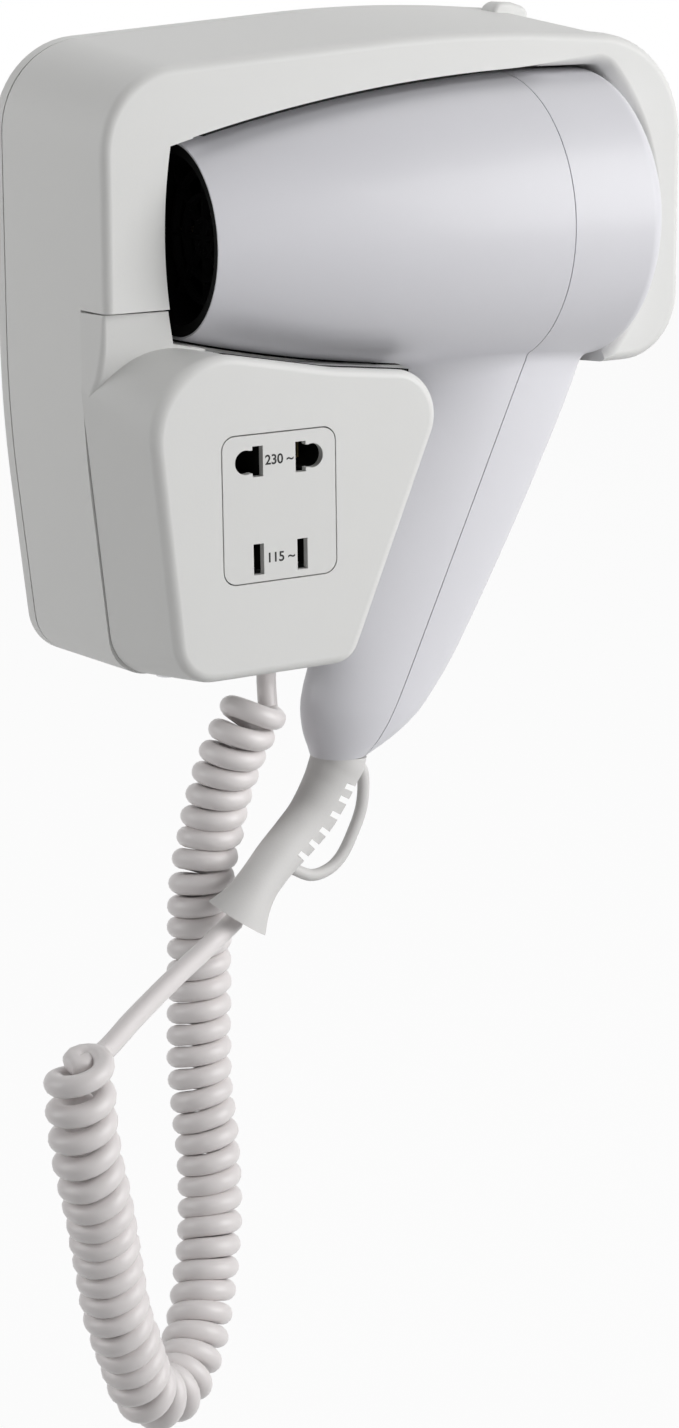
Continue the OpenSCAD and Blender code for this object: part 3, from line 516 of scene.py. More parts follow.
def barrel_profile(g):
    """The barrel's outline from the outlet to the tip of its cap, grown by g."""
    points = [(x, belly(x) + g) for x in spread(NOZZLE_X, BELLY_X, 24)]
    return points + [cap_point(math.radians(a), g) for a in CAP_TURNS]


def handle_row(z):
    """(left, right, half depth) of the handle at a height, on a smooth curve through the rows."""
    rows = HANDLE_ROWS
    for i in range(len(rows) - 1):
        if z >= rows[i + 1][0] or i == len(rows) - 2:
            p1, p2 = rows[i], rows[i + 1]
            p0 = rows[i - 1] if i else p1
            p3 = rows[i + 2] if i + 2 < len(rows) else p2
            h = p2[0] - p1[0]
            t = (z - p1[0]) / h
            out = []
            for k in (1, 2, 3):
                m1 = (p2[k] - p0[k]) / (p2[0] - p0[0]) * h
                m2 = (p3[k] - p1[k]) / (p3[0] - p1[0]) * h
                out.append(
                    (2 * t**3 - 3 * t**2 + 1) * p1[k]
                    + (t**3 - 2 * t**2 + t) * m1
                    + (-2 * t**3 + 3 * t**2) * p2[k]
                    + (t**3 - t**2) * m2
                )
            return out


def handle_point(a, z, g=0.0):
    """The point of the handle's side at angle a and a height, grown by g."""
    left, right, depth = handle_row(z)
    return at(
        (left + right) / 2 + ((right - left) / 2 + g) * math.cos(a),
        AXIS_Y + (depth + g) * math.sin(a),
        z,
    )


# ---------- holder ----------


def base_ring(y, d=0.0):
    """The holder's outline at a depth, drawn in by its drafts and by d."""
    shifts = [q * -y / DEPTH + d for q in BASE_DRAFTS]
    return [at(p.x, y, p.y) for p in drawn_in(BASE_CORNERS, BASE_RADII, shifts, 14)]


def box_ring(y, d=0.0):
    """The socket box's outline. Its upper left corner swells with the depth."""
    s = (-y - JOINT_Y) / (BOX_DEPTH - JOINT_Y)
    radii = BOX_RADII + [BOX_SWELL_FROM + BOX_SWELL * s]
    shifts = [q * s + d for q in BOX_DRAFTS]
    return [at(p.x, y, p.y) for p in drawn_in(BOX_CORNERS, radii, shifts, 16)]


def column_ring(z, side, deep, r):
    """The column's outline at a height, in front of the cover's joint with the housing."""
    back, steps = -JOINT_Y - SEAM - 0.01, 8
    front = side + COLUMN_LEAN * (deep + back)
    corners = [(side, back), (front, -deep), (COLUMN_END, -DEPTH), (COLUMN_END, back)]
    corners = [Vector(c) for c in corners]
    arc = rounded(corners, [1, r, 1, 1], steps)[steps + 1 : 2 * steps + 2]
    return [at(p.x, p.y, z) for p in [corners[0], *arc, corners[2], corners[3]]]


def edged(ring, back, front, r, steps=7):
    """Rings from back to front with a rounded front edge."""
    rings = [ring(-back)]
    for i in range(steps + 1):
        a = math.pi / 2 * i / steps
        rings.append(ring(-(front - r + r * math.sin(a)), r * (1 - math.cos(a))))
    return rings


def trough_cutter():
    """The docked barrel's own room."""
    start = NOZZLE_X - 3
    profile = [(start, 0.0), (start, belly(NOZZLE_X) + DOCK_GAP)]
    profile += barrel_profile(DOCK_GAP) + [(CAP_X + DOCK_GAP, 0.0)]
    return lathe("trough", profile, 128)


def way_cutter():
    """The way out in front of it, rising as the dryer does and flared at the rear end's side."""
    depths = [(AXIS_Y + 5, 0), (FLARE_FROM, 0)]
    for a in spread(0, math.pi / 2, 8)[1:]:
        depths.append((FLARE_FROM - FLARE_DEEP * math.sin(a), FLARE_WIDE * (1 - math.cos(a))))
    depths.append((-80, FLARE_WIDE))
    rings = []
    for y, wider in depths:
        near, far = barrel_profile(DOCK_GAP + 0.1), barrel_profile(DOCK_GAP + 0.1 + wider)
        side = []
        for p, q in zip(near, far):
            k = ease((p[0] - 30) / 36)
            side.append((p[0] + (q[0] - p[0]) * k, p[1] + (q[1] - p[1]) * k))
        outline = [(x, AXIS_Z - r) for x, r in side]
        outline += [(x, AXIS_Z + r) for x, r in reversed(side[:-1])]
        lift = RISE * (AXIS_Y - y)
        rings.append([at(x, y, z + lift) for x, z in outline])
    return loft("way", rings)


def bay_cutter():
    """The bay in front of the outlet, bowed at its left."""
    left, right = NOZZLE_X - BAY_LONG - DOCK_GAP, NOZZLE_X + 2
    half = belly(right) + DOCK_GAP + 0.1
    outline = [(right, AXIS_Z - half), (right, AXIS_Z + half + 0.4)]
    for i in range(10, -11, -1):
        outline.append((left + BAY_BOW * (i / 10) ** 2, AXIS_Z + (BAY_H + DOCK_GAP) * i / 10))
    return extruded("bay", outline, -BAY_BACK + DOCK_GAP, -80)


def slot_cutter():
    """The slot that the handle leaves by."""
    levels = (-32, -13, 11.5)
    outline = [(handle_row(z)[1] + SLOT_GAP, z) for z in levels]
    outline += [(handle_row(z)[0] - SLOT_GAP, z) for z in reversed(levels)]
    return extruded("slot", outline, -SLOT_BACK, -90)


housing = loft("upper_housing_skin", edged(base_ring, PLATE_RIM + PLATE_GAP, DEPTH, EDGE_R))
carve(housing, trough_cutter(), way_cutter(), bay_cutter(), slot_cutter())
carve(housing, box("zone", (-120, -120, -120), (14, -JOINT_Y, JOINT_Z)))
latch = extruded("latch", LATCH, -4.5, -12)
soften(latch, 1.4, 4)
hollow = extruded("hollow", [(60, 95), *HOLLOW, (94, 95)], -2, -50.5, tilt=-0.1)
soften(hollow, 1.2, 3, 50)
carve(housing, hollow)
carve(housing, latch, how="UNION")
for x, z in HOUSING_SCREWS:
    carve(housing, drill("hole", (x, -9, z), (0, 0, 1), HOUSING_SCREW_R, 12))
soften(housing, 0.45, 2)
smooth(housing)
dress(housing, "holder", "base_plastic", holder_plastic, "upper_housing")

plate = loft("wall_plate_skin", [base_ring(-0.001), base_ring(-PLATE_RIM)])
for x, z in WALL_SCREWS:
    carve(plate, drill("hole", (x, 0, z), (0, 1, 0), WALL_SCREW_R, 12))
carve(plate, drill("hole", CABLE_HOLE, (0, 1, 0), CABLE_HOLE_R, 12))
soften(plate, 0.25, 2)
smooth(plate)
dress(plate, "holder", "base_plastic", plate_plastic, "wall_plate")


def socket_outline(grow):
    """The socket plate's outline, grown all round."""
    w, h = SOCKET_W / 2 + grow, SOCKET_H / 2 + grow
    corners = [Vector(c) for c in ((-w, -h), (w, -h), (w, h), (-w, h))]
    return [
        (SOCKET.x + p.x, SOCKET.z + p.y) for p in rounded(corners, [SOCKET_R + grow] * 4, 8)
    ]


cover = loft("lower_cover_skin", edged(box_ring, JOINT_Y + SEAM, BOX_DEPTH, BOX_EDGE_R))
column = loft("column", [column_ring(*row) for row in curve(COLUMN_ROWS, 5)])
carve(column, bay_cutter())
carve(cover, column, how="UNION")
carve(cover, extruded("pocket", socket_outline(SOCKET_GAP), -48, -80))
soften(cover, 0.35, 2)
smooth(cover)
dress(cover, "holder", "base_plastic", holder_plastic, "lower_cover")


def inlets(depth):
    """Cutters for the two round-pin inlets and the two flat-pin slots."""
    cutters, half = [], depth / 2
    for s in (-1, 1):
        x, z = SOCKET.x + s * ROUND_X, SOCKET.z + ROUND_Z
        cutters.append(drill("round", (x, SOCKET.y, z), (0, 1, 0), ROUND_R, depth))
        for name, middle, wide, high, more in (
            ("neck", 2.3, 4.6, 5.8, 0.1),
            ("blade", 3.4, 3, 7.8, 0.2),
        ):
            reach = half + more
            low = (x - s * middle - wide / 2, SOCKET.y - reach, z - high / 2)
            top = (x - s * middle + wide / 2, SOCKET.y + reach, z + high / 2)
            cutters.append(box(name, low, top))
        x, z = SOCKET.x + s * FLAT_X, SOCKET.z - FLAT_Z
        low, top = (x - 1.5, SOCKET.y - half, z - 4), (x + 1.5, SOCKET.y + half, z + 4)
        cutters.append(box("flat", low, top))
    return cutters


socket = extruded("socket_plate_skin", socket_outline(0), SOCKET.y + SOCKET_T, SOCKET.y)
carve(socket, *inlets(8))
soften(socket, 0.45, 3)
smooth(socket)
dress(socket, "holder", "base_plastic", plate_plastic, "socket_plate")


def mark(name, words, x, z):
    """Plain printed figures on the socket plate."""
    text = bpy.data.curves.new(name, "FONT")
    text.body, text.size, text.extrude = words, FIGURES_HIGH * 1.4 * MM, 0.02 * MM
    text.offset = 0.07 * MM
    text.align_x, text.align_y = "CENTER", "CENTER"
    written = bpy.data.objects.new(name, text)
    bpy.context.scene.collection.objects.link(written)
    graph = bpy.context.evaluated_depsgraph_get()
    mesh = bpy.data.meshes.new_from_object(written.evaluated_get(graph))
    upright = Matrix.Rotation(math.pi / 2, 4, "X")
    mesh.transform(Matrix.Translation(at(x, SOCKET.y - 0.03, z) * MM) @ upright)
    bpy.data.objects.remove(written)
    piece = bpy.data.objects.new(name, mesh)
    bpy.context.scene.collection.objects.link(piece)
    dress(piece, "holder", "black_plastic", ink)


mark("round_inlet_figures", "230 ~", SOCKET.x, SOCKET.z + ROUND_Z)
mark("flat_slot_figures", "115 ~", SOCKET.x, SOCKET.z - FLAT_Z)

# black pieces that paint the shade in the dark gaps round the barrel: painted shade, not parts of
# the holder
EDGE_T, EDGE_BACK, EDGE_FRONT = 0.6, -52, -55.95
EDGE_LEFT, EDGE_RIGHT, EDGE_STEPS, EDGE_THINS = NOZZLE_X + 3, NOZZLE_X + 103, 24, 8
# about how far the edge is in front of the barrel's axis
EDGE_AHEAD = 12.5
SHADOW_GAP_LEFT, SHADOW_GAP_RIGHT, SHADOW_GAP_BACK, SHADOW_GAP_FRONT = -60, -6, -60, -65.4
# where the box's top edge bends, and how it falls to the left and to the right of there
SHADOW_GAP_BEND, SHADOW_GAP_FALLS = (-30, -5.3), (0.19, 0.114)
SHADE_LINING_END, SHADE_LINING_T = 44, 0.2


def paint_shade(piece):
    """Finishes a black piece of painted shade, hung on the holder."""
    smooth(piece)
    dress(piece, "holder", "base_plastic", black_plastic)


# a black strip under the lip's edge over the barrel, the painted shadow line there, thinned out
# at its right end
shadow_line_rings = []
for i, x in enumerate(spread(EDGE_LEFT, EDGE_RIGHT, EDGE_STEPS)):
    top = AXIS_Z + belly(x) + DOCK_GAP + 0.1 + RISE * EDGE_AHEAD
    under = top - EDGE_T * min(1, (EDGE_STEPS + 1 - i) / EDGE_THINS)
    section = [(EDGE_BACK, under), (EDGE_BACK, top), (EDGE_FRONT, top), (EDGE_FRONT, under)]
    shadow_line_rings.append([at(x, y, z) for y, z in section])
paint_shade(loft("painted_shadow_line", shadow_line_rings))

# a black strip on top of the socket box, the painted shadow of the gap under the barrel, which
# follows the box's bent top edge
shadow_gap_rings = []
for x in spread(SHADOW_GAP_LEFT, SHADOW_GAP_RIGHT, 16):
    top = SHADOW_GAP_BEND[1] - (x - SHADOW_GAP_BEND[0]) * SHADOW_GAP_FALLS[x >= SHADOW_GAP_BEND[0]]
    section = [(SHADOW_GAP_BACK, 0.1), (SHADOW_GAP_BACK, 0.7), (SHADOW_GAP_FRONT, 1.1), (SHADOW_GAP_FRONT, 0.1)]
    shadow_gap_rings.append([at(x, y, top + z) for y, z in section])
paint_shade(loft("painted_shadow_gap", shadow_gap_rings))

# a black sheet over the inside of the recess behind the barrel: painted shade on the holder's own
# plastic
inner = [p for p in barrel_profile(DOCK_GAP) if p[0] < SHADE_LINING_END]
inner += [(x, r - SHADE_LINING_T) for x, r in reversed(inner)]
shade_lining = lathe("painted_shade_lining", inner, closed=True)
carve(shade_lining, box("behind", (-100, AXIS_Y - 1, -60), (60, 10, 90)), how="INTERSECT")
paint_shade(shade_lining)

# ---------- handset ----------

RIM_T = 0.65
SLEEVE_LONG = 34.0
INLET_RINGS, INLET_FIRST, INLET_STEP, INLET_WIDE, SPOKES, SPOKE_W = 4, 9, 5.6, 3.0, 10, 2.2
INLET_FROM, INLET_TO, ARC_POINTS = 62.5, 82, 7
SWITCH_AT, SWITCH_LEAN = at(52.8, AXIS_Y, -28.5), math.radians(27)
POCKET_W, POCKET_HALF, POCKET_DEEP = 8.4, 17.7, 2.6
HANDLE_MIDDLE = 37.0


def flare(a):
    """The handle's fillet onto the barrel: tight at the back, wide at the front."""
    return 2.5 + 6.5 * max(0, -math.cos(a)) ** 1.2


def handle_rings(g, steps=96):
    """Rings of the handle from its lower end up, the last ones flaring onto the barrel."""
    heights = [-113, -112.4, -111.5, -110.5, -109, -107.5, -105.5, -103, -100.5, -98]
    heights += spread(-98, -24, 18)[1:]
    columns = []
    for j in range(steps):
        a = 2 * math.pi * j / steps
        foot = meet_barrel(a, g)
        top_fillet = flare(a)
        low = foot.z - top_fillet
        start = handle_point(a, low, g)
        row = handle_row(foot.z)
        n = at(math.cos(a) / ((row[1] - row[0]) / 2), math.sin(a) / row[2], 0).normalized()
        end = onto_barrel(foot + n * top_fillet, g)
        column = [handle_point(a, z, g) for z in heights]
        knee = [handle_point(a, z, g) for z in spread(heights[-1], low, 4)[1:-1]]
        bend = []
        for t in spread(0, 1, 10):
            bend.append(start * (1 - t) ** 2 + foot * 2 * t * (1 - t) + end * t * t)
        closing = end.lerp(at(HANDLE_MIDDLE, AXIS_Y, end.z + 8), 0.3)
        columns.append(column + knee + bend + [closing])
    return [[c[i] for c in columns] for i in range(len(columns[0]))]


def meet_barrel(a, g):
    """Where the handle's side at angle a meets the barrel."""
    low, high = -40.0, 25.0
    for _ in range(40):
        z = (low + high) / 2
        p = handle_point(a, z, g)
        inside = math.hypot(p.y - AXIS_Y, p.z - AXIS_Z) < barrel_radius(p.x) + g
        low, high = (low, z) if inside else (z, high)
    return handle_point(a, (low + high) / 2, g)


def onto_barrel(p, g):
    """The point moved along the barrel's radius onto its surface, a hair beneath it."""
    out = Vector((0, p.y - AXIS_Y, p.z - AXIS_Z)).normalized()
    r = barrel_radius(p.x) + g - 0.04
    return at(p.x, AXIS_Y, AXIS_Z) + out * r


def half_space(side):
    """Everything on one side of the joint of the two shells."""
    foot = SEAM_X + (-130 - SEAM_LOW) * math.tan(LEAN)
    g, far = side * 0.15, side * 200
    outline = [(foot + g, -130), (SEAM_X + g, SEAM_LOW), (SEAM_X + g, 100)]
    outline += [(far, 100), (far, -130)]
    return extruded("half", outline, 20, -110)


def inlet_cutter():
    """The arcs of the air inlet in the barrel's rear end, with spokes left between them."""
    verts, faces = [], []
    step, n = 2 * math.pi / SPOKES, ARC_POINTS
    for ring in range(INLET_RINGS):
        middle = INLET_FIRST + INLET_STEP * ring
        for k in range(SPOKES):
            base = len(verts)
            for x in (INLET_FROM, INLET_TO):
                for r in (middle - INLET_WIDE / 2, middle + INLET_WIDE / 2):
                    skip = SPOKE_W / 2 / r
                    for j in range(n):
                        a = step * k + skip + (step - 2 * skip) * j / (n - 1)
                        verts.append(on_axis(x, r, a))
            for j in range(n - 1):
                a, b, c, d = [base + n * m + j for m in range(4)]
                faces += [(a, b, b + 1, a + 1), (c, c + 1, d + 1, d)]
                faces += [(a, a + 1, c + 1, c), (b, d, d + 1, b + 1)]
            for j in (0, n - 1):
                a, b, c, d = [base + n * m + j for m in range(4)]
                faces.append((a, c, d, b))
    piece = make("inlet", verts, faces)
    face_outward(piece)
    return piece


rim = belly(NOZZLE_X)
# the outlet's rounded edge: how far behind the outlet, and how far inside its radius
lip = [(NOZZLE_X + x, rim - t) for x, t in ((0.3, RIM_T), (0.05, 0.5), (0, 0.33), (0.05, 0.13))]
outside = [(NOZZLE_X + 0.3, 0), *lip, *barrel_profile(0)[:-1], (CAP_X, 0)]
shell = lathe("main_shell_skin", outside, 160)
carve(shell, loft("handle_skin", handle_rings(0)), how="UNION")
inside = [(NOZZLE_X - 1, 0), (NOZZLE_X - 1, rim - RIM_T), (NOZZLE_X + 4.5, rim - RIM_T)]
inside += [p for p in barrel_profile(-SHELL_T)[:-1] if p[0] > NOZZLE_X + 4]
carve(shell, lathe("barrel_hollow", inside + [(CAP_X - SHELL_T, 0)]))
rings = [ring for ring in handle_rings(-SHELL_T, 48) if ring[0].z > -112]
carve(shell, loft("handle_hollow", rings))
carve(shell, inlet_cutter())
low, high = (-POCKET_DEEP, -POCKET_W / 2, -POCKET_HALF), (8, POCKET_W / 2, POCKET_HALF)
pocket = box("pocket", low, high)
leaning = Matrix.Rotation(SWITCH_LEAN, 4, "Y")
pocket.data.transform(Matrix.Translation(SWITCH_AT * MM) @ leaning)
carve(shell, pocket)
rear = bpy.data.objects.new("rear_shell_skin", shell.data.copy())
bpy.context.scene.collection.objects.link(rear)
carve(shell, half_space(-1), how="INTERSECT")
carve(rear, half_space(1), how="INTERSECT")
for piece, node in ((shell, "main_shell"), (rear, "rear_shell")):
    smooth(piece, 30)
    dress(piece, "handset", "dryer_shell", dryer_plastic, node)

# the heat-proof sleeve in the nozzle
front, step, back = NOZZLE_X + 0.4, NOZZLE_X + 4.3, NOZZLE_X + 1 + SLEEVE_LONG
sleeve_out = [(front, rim - RIM_T - 0.1), (step, belly(step) - RIM_T - 0.3)]
sleeve_out += [(x, belly(x) - SHELL_T - 0.15) for x in spread(NOZZLE_X + 4.6, back, 6)]
sleeve_in = [(x, belly(x) - SHELL_T - 1.6) for x in spread(front + 0.3, back, 6)]
sleeve = lathe("nozzle_sleeve", sleeve_out + sleeve_in[::-1], closed=True)
smooth(sleeve)
dress(sleeve, "handset", "black_plastic", black_plastic, "nozzle_liner")

# ---------- strain relief and hanging loop ----------

# the tail's line from the handle to the mouth, with its radius at each point
RELIEF = [
    (-15, -43, -113, 7.7), (-15.5, -43, -115.3, 7.6), (-16.8, -43, -118, 7.2),
    (-19.3, -43.2, -122.5, 6.9), (-24.4, -44.2, -128.8, 6.6), (-30.8, -46.2, -133.2, 6.3),
    (-38, -49.2, -137, 6), (-43, -51.5, -140, 5.8), (-47, -53.4, -142.6, 5.9),
    (-50.6, -55, -145.6, 6.7), (-54.5, -56.5, -149, 8.7),
]
LOOP = [
    (-10, -43, -116), (-7.4, -43, -120), (-7.9, -43, -129), (-11.3, -43.4, -136.5),
    (-15.2, -44, -142), (-20, -44.8, -144.8), (-26, -45.8, -145), (-32.5, -47, -141.5),
]
RELIEF_SIDES, LOOP_R = 40, 1.65
# the notches: the first and the spacing in points along the tail, and the way that they run
NOTCHES, FIRST_NOTCH, NOTCH_SPACING, NOTCH_W, NOTCH_DEEP = 6, 15, 3.4, 1.6, 2.4
NOTCH_WAY = Vector((0.48, 0.83, -0.28)).normalized()
# the mouth's slanting cut, which faces this way, and how many rings it draws along
MOUTH, MOUTH_RINGS = Vector((-0.51, 0.07, -0.735)).normalized(), 9

tail = curve(RELIEF, 6)
radii = [q[3] for q in tail]
relief = tube("strain_relief_skin", [q.to_3d() for q in tail], radii, RELIEF_SIDES)
heading = (tail[-1] - tail[-2]).to_3d().normalized()
first = len(tail) - MOUTH_RINGS
for ring in range(first, len(tail)):
    share = (ring - first + 1) / MOUTH_RINGS
    centre = tail[ring].to_3d()
    for v in relief.data.vertices[ring * RELIEF_SIDES : (ring + 1) * RELIEF_SIDES]:
        off = v.co / MM - centre
        v.co += heading * (-off.dot(MOUTH) / heading.dot(MOUTH) * share * share * MM)
for i in range(NOTCHES):
    k = FIRST_NOTCH + NOTCH_SPACING * i
    p, q = tail[int(k)].to_3d(), tail[int(k) + 1].to_3d()
    out = (q - p).normalized().cross(NOTCH_WAY).normalized()
    bottom = tail[int(k)][3] - NOTCH_DEEP
    notch = box("notch", (bottom, -12, -NOTCH_W / 2), (12, 12, NOTCH_W / 2))
    turned = Matrix((out, NOTCH_WAY, out.cross(NOTCH_WAY))).transposed().to_4x4()
    notch.data.transform(Matrix.Translation(p.lerp(q, k - int(k)) * MM) @ turned)
    carve(relief, notch)
carve(relief, tube("loop", curve(LOOP, 6), LOOP_R, 20), how="UNION")
carve(relief, box("above", (-40, -70, -112.8), (20, -20, -90)))
soften(relief, 0.25, 2, 50)
smooth(relief, 40)
dress(relief, "handset", "soft_relief", soft_rubber, "strain_relief")

# ---------- cord ----------

CORD_D, COIL_D = 5.3, 17.6
# the lines of the lead under the holder, of the coil's axis, and of the lead to the dryer
BASE_LEAD = [(-33, -36, -89), (-33, -36, -91), (-33, -36, -93.5)]
ROUTE = [
    (-38, -40.5, -96.5), (-41, -40, -101), (-43.5, -39, -106), (-46, -37.5, -113),
    (-48.5, -36, -122), (-50.5, -35, -132), (-53.5, -35, -144), (-54.5, -35, -158),
    (-55.5, -36, -172), (-57, -38, -187), (-58, -40, -200), (-58, -43, -215), (-59, -46, -231),
    (-62, -50, -243), (-66, -54, -254), (-70, -58, -261), (-75, -62.5, -267),
    (-81, -67.5, -270.5), (-88, -73, -270.5), (-94.5, -77.5, -266.5), (-99, -80.5, -260),
    (-102, -82.5, -252), (-104.5, -84, -245), (-107, -85, -238), (-108.5, -86, -231),
    (-110, -87, -223), (-111.5, -88, -215), (-113, -89.5, -208), (-115, -91, -200),
    (-117, -92, -192), (-118.5, -93, -184), (-119.5, -94, -176), (-120, -95, -168),
    (-120.2, -95.3, -163),
]
LEAD = [
    (-110, -89.2, -164), (-98, -81.5, -160.5), (-82, -71.5, -156.5), (-67, -62.5, -153.2),
    (-54.5, -56.5, -149),
]
# the turns' pitch, and the two wider ones near the free end: how far from the end each
# starts, and over what length it grows
PITCH = 5.95
OPEN_PITCH, OPEN_FROM, OPEN_GROWS = 7.4, 44, 24
LAST_PITCH, LAST_FROM, LAST_GROWS = 8.6, 8.5, 2
AXIS_STEP, TURN_STEP, WIRE_STEP = 0.5, 2.2, 1.6
# how many steps of the axis to each side its bend is taken over
BEND_STEPS = 8
# where round the coil the wire joins it under the holder, and leaves it for the dryer
JOINS, LEAVES = at(0.61, 0.7, -0.35), at(1, 0.1, 0)
# the part of a turn that closes in at the free end: its length in turns, how much smaller it
# gets, how far it rises along the axis, and how far it moves
CLOSING, CLOSING_IN, CLOSING_RISE, CLOSING_SHIFT = 0.78, 0.72, -1.5, at(4, 1.5, 0)
# how much fuller the turns are in radius than the leads, how many of the wire's points the
# leads take up at its two ends, and how many the change takes
FULLER, BASE_POINTS, LEAD_POINTS, FULLER_GROWS = 0.18, 6, 62, 6
# the place where the wire leaves the coil is looked for in its last points
LAST_POINTS = 120


def wound(route):
    """The wire's line round a coil's route, its turns opened at the free end and in the bend."""
    line = even(curve(route, 12), AXIS_STEP)
    big, last = (COIL_D - CORD_D) / 2, len(line) - 1
    axes = frames(line, Vector((0, 1, 0)))
    turns = [0.0]
    for i in range(1, last + 1):
        i0, i1 = max(i - BEND_STEPS, 0), min(i + BEND_STEPS, last)
        bend = axes[i0][0].angle(axes[i1][0]) / (AXIS_STEP * (i1 - i0))
        left = AXIS_STEP * (last - i)
        pitch = PITCH + (OPEN_PITCH - PITCH) * clamp((OPEN_FROM - left) / OPEN_GROWS)
        pitch += (LAST_PITCH - OPEN_PITCH) * clamp((LAST_FROM - left) / LAST_GROWS)
        pitch = max(pitch, (CORD_D + 0.15) / max(1 - big * bend, 0.4))
        turns.append(turns[-1] + 2 * math.pi * AXIS_STEP / pitch)
    # a whole wire meets both ends: the turns are eased a little to come out right
    first = math.atan2(JOINS.dot(axes[0][2]), JOINS.dot(axes[0][1]))
    final = math.atan2(LEAVES.dot(axes[-1][2]), LEAVES.dot(axes[-1][1]))
    over = (final - first - turns[-1]) % (2 * math.pi)
    whole = turns[-1] + (over if over < math.pi else over - 2 * math.pi)
    wire = []
    for p, (_, u, v), turned in zip(line, axes, turns):
        a = first + turned * whole / turns[-1]
        wire.append(p + big * (u * math.cos(a) + v * math.sin(a)))
    # the last part of a turn closes in, and the lead leaves from inside it
    h, u, v = axes[-1]
    for t in spread(0, 1, 36)[1:]:
        a = first + whole + 2 * math.pi * CLOSING * t
        r = big * (1 - CLOSING_IN * ease(1.5 * t))
        centre = line[-1] + h * CLOSING_RISE * t + CLOSING_SHIFT * t
        wire.append(centre + r * (u * math.cos(a) + v * math.sin(a)))
    return wire


coil = even(wound(ROUTE), TURN_STEP)[1:-1]
wire = even(curve([*BASE_LEAD, *coil, *LEAD], 8), WIRE_STEP)
count = len(wire)
thick = []
for i in range(count):
    share = clamp(min(i - BASE_POINTS, count - LEAD_POINTS - i) / FULLER_GROWS)
    thick.append(CORD_D / 2 + FULLER * share)
# one wire, made as two pieces: the coil is tied to no body, the lead moves with the dryer
leaving = range(count - LAST_POINTS, count)
split = min(leaving, key=lambda i: (wire[i] - Vector(LEAD[0])).length)
coil_line, lead_line = wire[: split + 1], wire[split:]
cord = tube("curly_cord", coil_line, thick[: split + 1])
smooth(cord, 60)
dress(cord, None, "cord_sheath", cord_sheath, "cord_lead_base", "cord_coil")
lead = tube("straight_cord", lead_line, thick[split:])
smooth(lead, 60)
dress(lead, "handset", "cord_sheath", cord_sheath, "cord_lead_handset")
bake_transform(cord)

# ---------- light, backdrop and camera ----------

WORLD, FLOOR_Z, FLOOR_HALF = 0.06, -300.0, 4000.0
# how much of the floor is plain white where it is seen, so that only a soft shadow shows
FLOOR_WHITE = 0.95
AIM = at(0, -40, -60) * MM
# name, heading from the object, distance and size in metres, power
LAMPS = (
    ("key", (0.6, -0.7, 0.35), 1.8, 1.5, 31.5),
    ("fill", (-0.85, 0.35, 0.3), 1.8, 1.2, 12),
    ("top", (0.1, 0.5, 1), 1.6, 1.2, 5),
    ("front", (-0.3, -1, -0.25), 2.0, 1.4, 6.5),
)


def seen_only(tree):
    """1 for rays that see the backdrop, so it shows and reflects without lighting the object."""
    path = tree.nodes.new("ShaderNodeLightPath")
    total = path.outputs["Is Camera Ray"]
    for kind in ("Is Glossy Ray", "Is Transmission Ray"):
        add = tree.nodes.new("ShaderNodeMath")
        add.operation, add.use_clamp = "ADD", True
        tree.links.new(total, add.inputs[0])
        tree.links.new(path.outputs[kind], add.inputs[1])
        total = add.outputs[0]
    return total


def white_world():
    """White where it is seen, and a faint light on the object."""
    world = bpy.data.worlds.new("studio")
    bpy.context.scene.world = world
    world.use_nodes = True
    tree = world.node_tree
    tree.nodes.clear()
    output = tree.nodes.new("ShaderNodeOutputWorld")
    mix = tree.nodes.new("ShaderNodeMixShader")
    for i, strength in ((1, WORLD), (2, 1.0)):
        shade = tree.nodes.new("ShaderNodeBackground")
        shade.inputs["Color"].default_value = (1, 1, 1, 1)
        shade.inputs["Strength"].default_value = strength
        tree.links.new(shade.outputs["Background"], mix.inputs[i])
    tree.links.new(seen_only(tree), mix.inputs["Fac"])
    tree.links.new(mix.outputs["Shader"], output.inputs["Surface"])


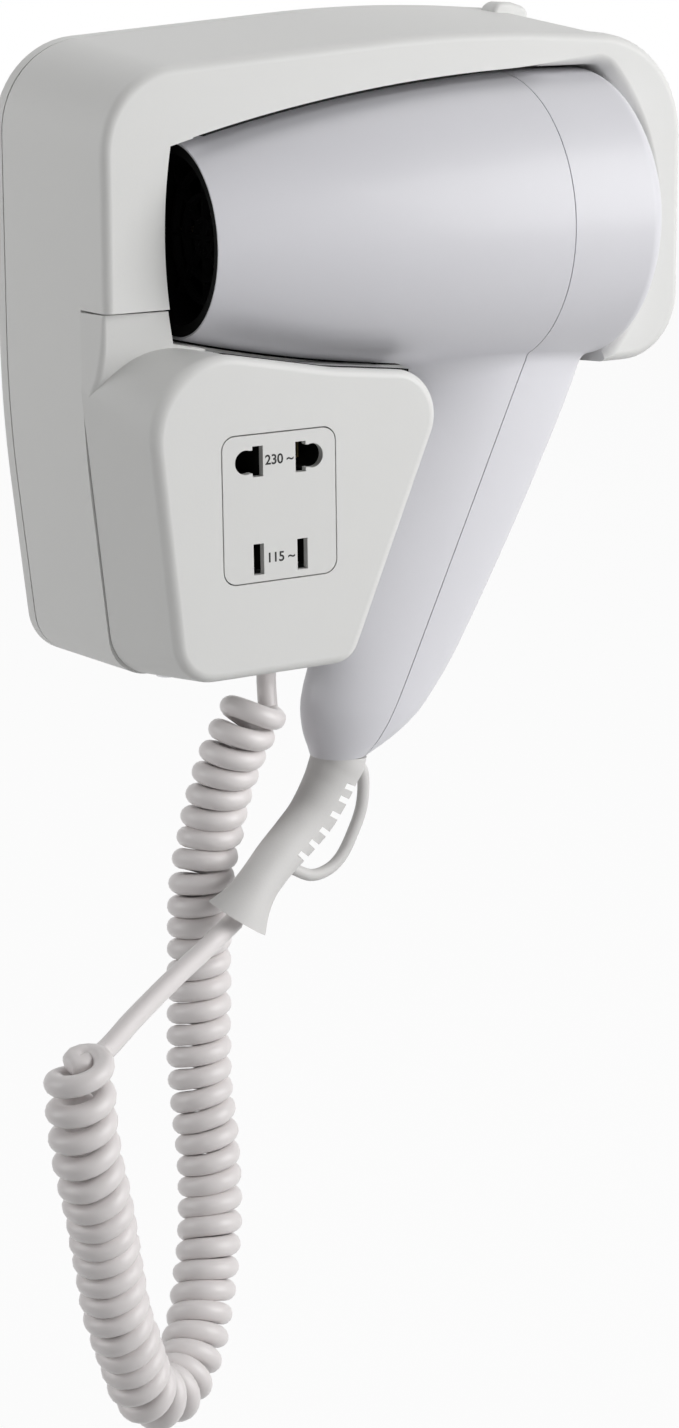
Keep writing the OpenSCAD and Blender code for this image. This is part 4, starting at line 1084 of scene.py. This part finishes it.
def white_floor():
    """A pale floor, well under the cord, which keeps the object's shadow."""
    corners = [(-1, -1), (1, -1), (1, 1), (-1, 1)]
    verts = [(x * FLOOR_HALF, y * FLOOR_HALF, FLOOR_Z) for x, y in corners]
    floor = make("floor", verts, [(0, 1, 2, 3)])
    material = bpy.data.materials.new("floor")
    material.use_nodes = True
    tree = material.node_tree
    shader = tree.nodes["Principled BSDF"]
    shader.inputs["Base Color"].default_value = (0.55, 0.55, 0.55, 1)
    shader.inputs["Roughness"].default_value = 0.9
    glow = tree.nodes.new("ShaderNodeEmission")
    glow.inputs["Strength"].default_value = 1.0
    mix = tree.nodes.new("ShaderNodeMixShader")
    share = tree.nodes.new("ShaderNodeMath")
    share.operation = "MULTIPLY"
    share.inputs[1].default_value = FLOOR_WHITE
    tree.links.new(seen_only(tree), share.inputs[0])
    tree.links.new(share.outputs[0], mix.inputs["Fac"])
    tree.links.new(shader.outputs["BSDF"], mix.inputs[1])
    tree.links.new(glow.outputs["Emission"], mix.inputs[2])
    tree.links.new(mix.outputs["Shader"], tree.nodes["Material Output"].inputs["Surface"])
    floor.data.materials.append(material)
    return floor


def lamp(name, heading, away, size, power):
    """A soft square lamp, away metres from the object along a heading."""
    light = bpy.data.lights.new(name, "AREA")
    light.shape, light.size, light.energy = "SQUARE", size, power
    obj = bpy.data.objects.new(name, light)
    place = AIM + Vector(heading).normalized() * away
    obj.location = place
    obj.rotation_euler = (AIM - place).to_track_quat("-Z", "Y").to_euler()
    bpy.context.scene.collection.objects.link(obj)


white_world()
white_floor()
for row in LAMPS:
    lamp(*row)

CAMERA_YAW, CAMERA_TILT, CAMERA_ROLL = [math.radians(a) for a in (30.566, 14.767, -0.6726)]
CAMERA_AT, FOCAL = at(-421.0, -731.2, 108.4) * MM, 77.39
level = math.cos(CAMERA_TILT)
ahead = at(math.sin(CAMERA_YAW) * level, math.cos(CAMERA_YAW) * level, -math.sin(CAMERA_TILT))
right = at(math.cos(CAMERA_YAW), -math.sin(CAMERA_YAW), 0)
up = right.cross(ahead)
cos, sin = math.cos(CAMERA_ROLL), math.sin(CAMERA_ROLL)
right, up = right * cos + up * sin, up * cos - right * sin
lens = bpy.data.cameras.new("camera")
lens.lens, lens.sensor_width, lens.sensor_fit = FOCAL, 36, "AUTO"
lens.clip_start, lens.clip_end = 0.05, 20
camera = bpy.data.objects.new("camera", lens)
bpy.context.scene.collection.objects.link(camera)
facing = Matrix((right, up, -ahead)).transposed().to_4x4()
camera.matrix_world = Matrix.Translation(CAMERA_AT) @ facing
bpy.context.scene.camera = camera
bpy.context.scene.view_settings.view_transform = "Standard"
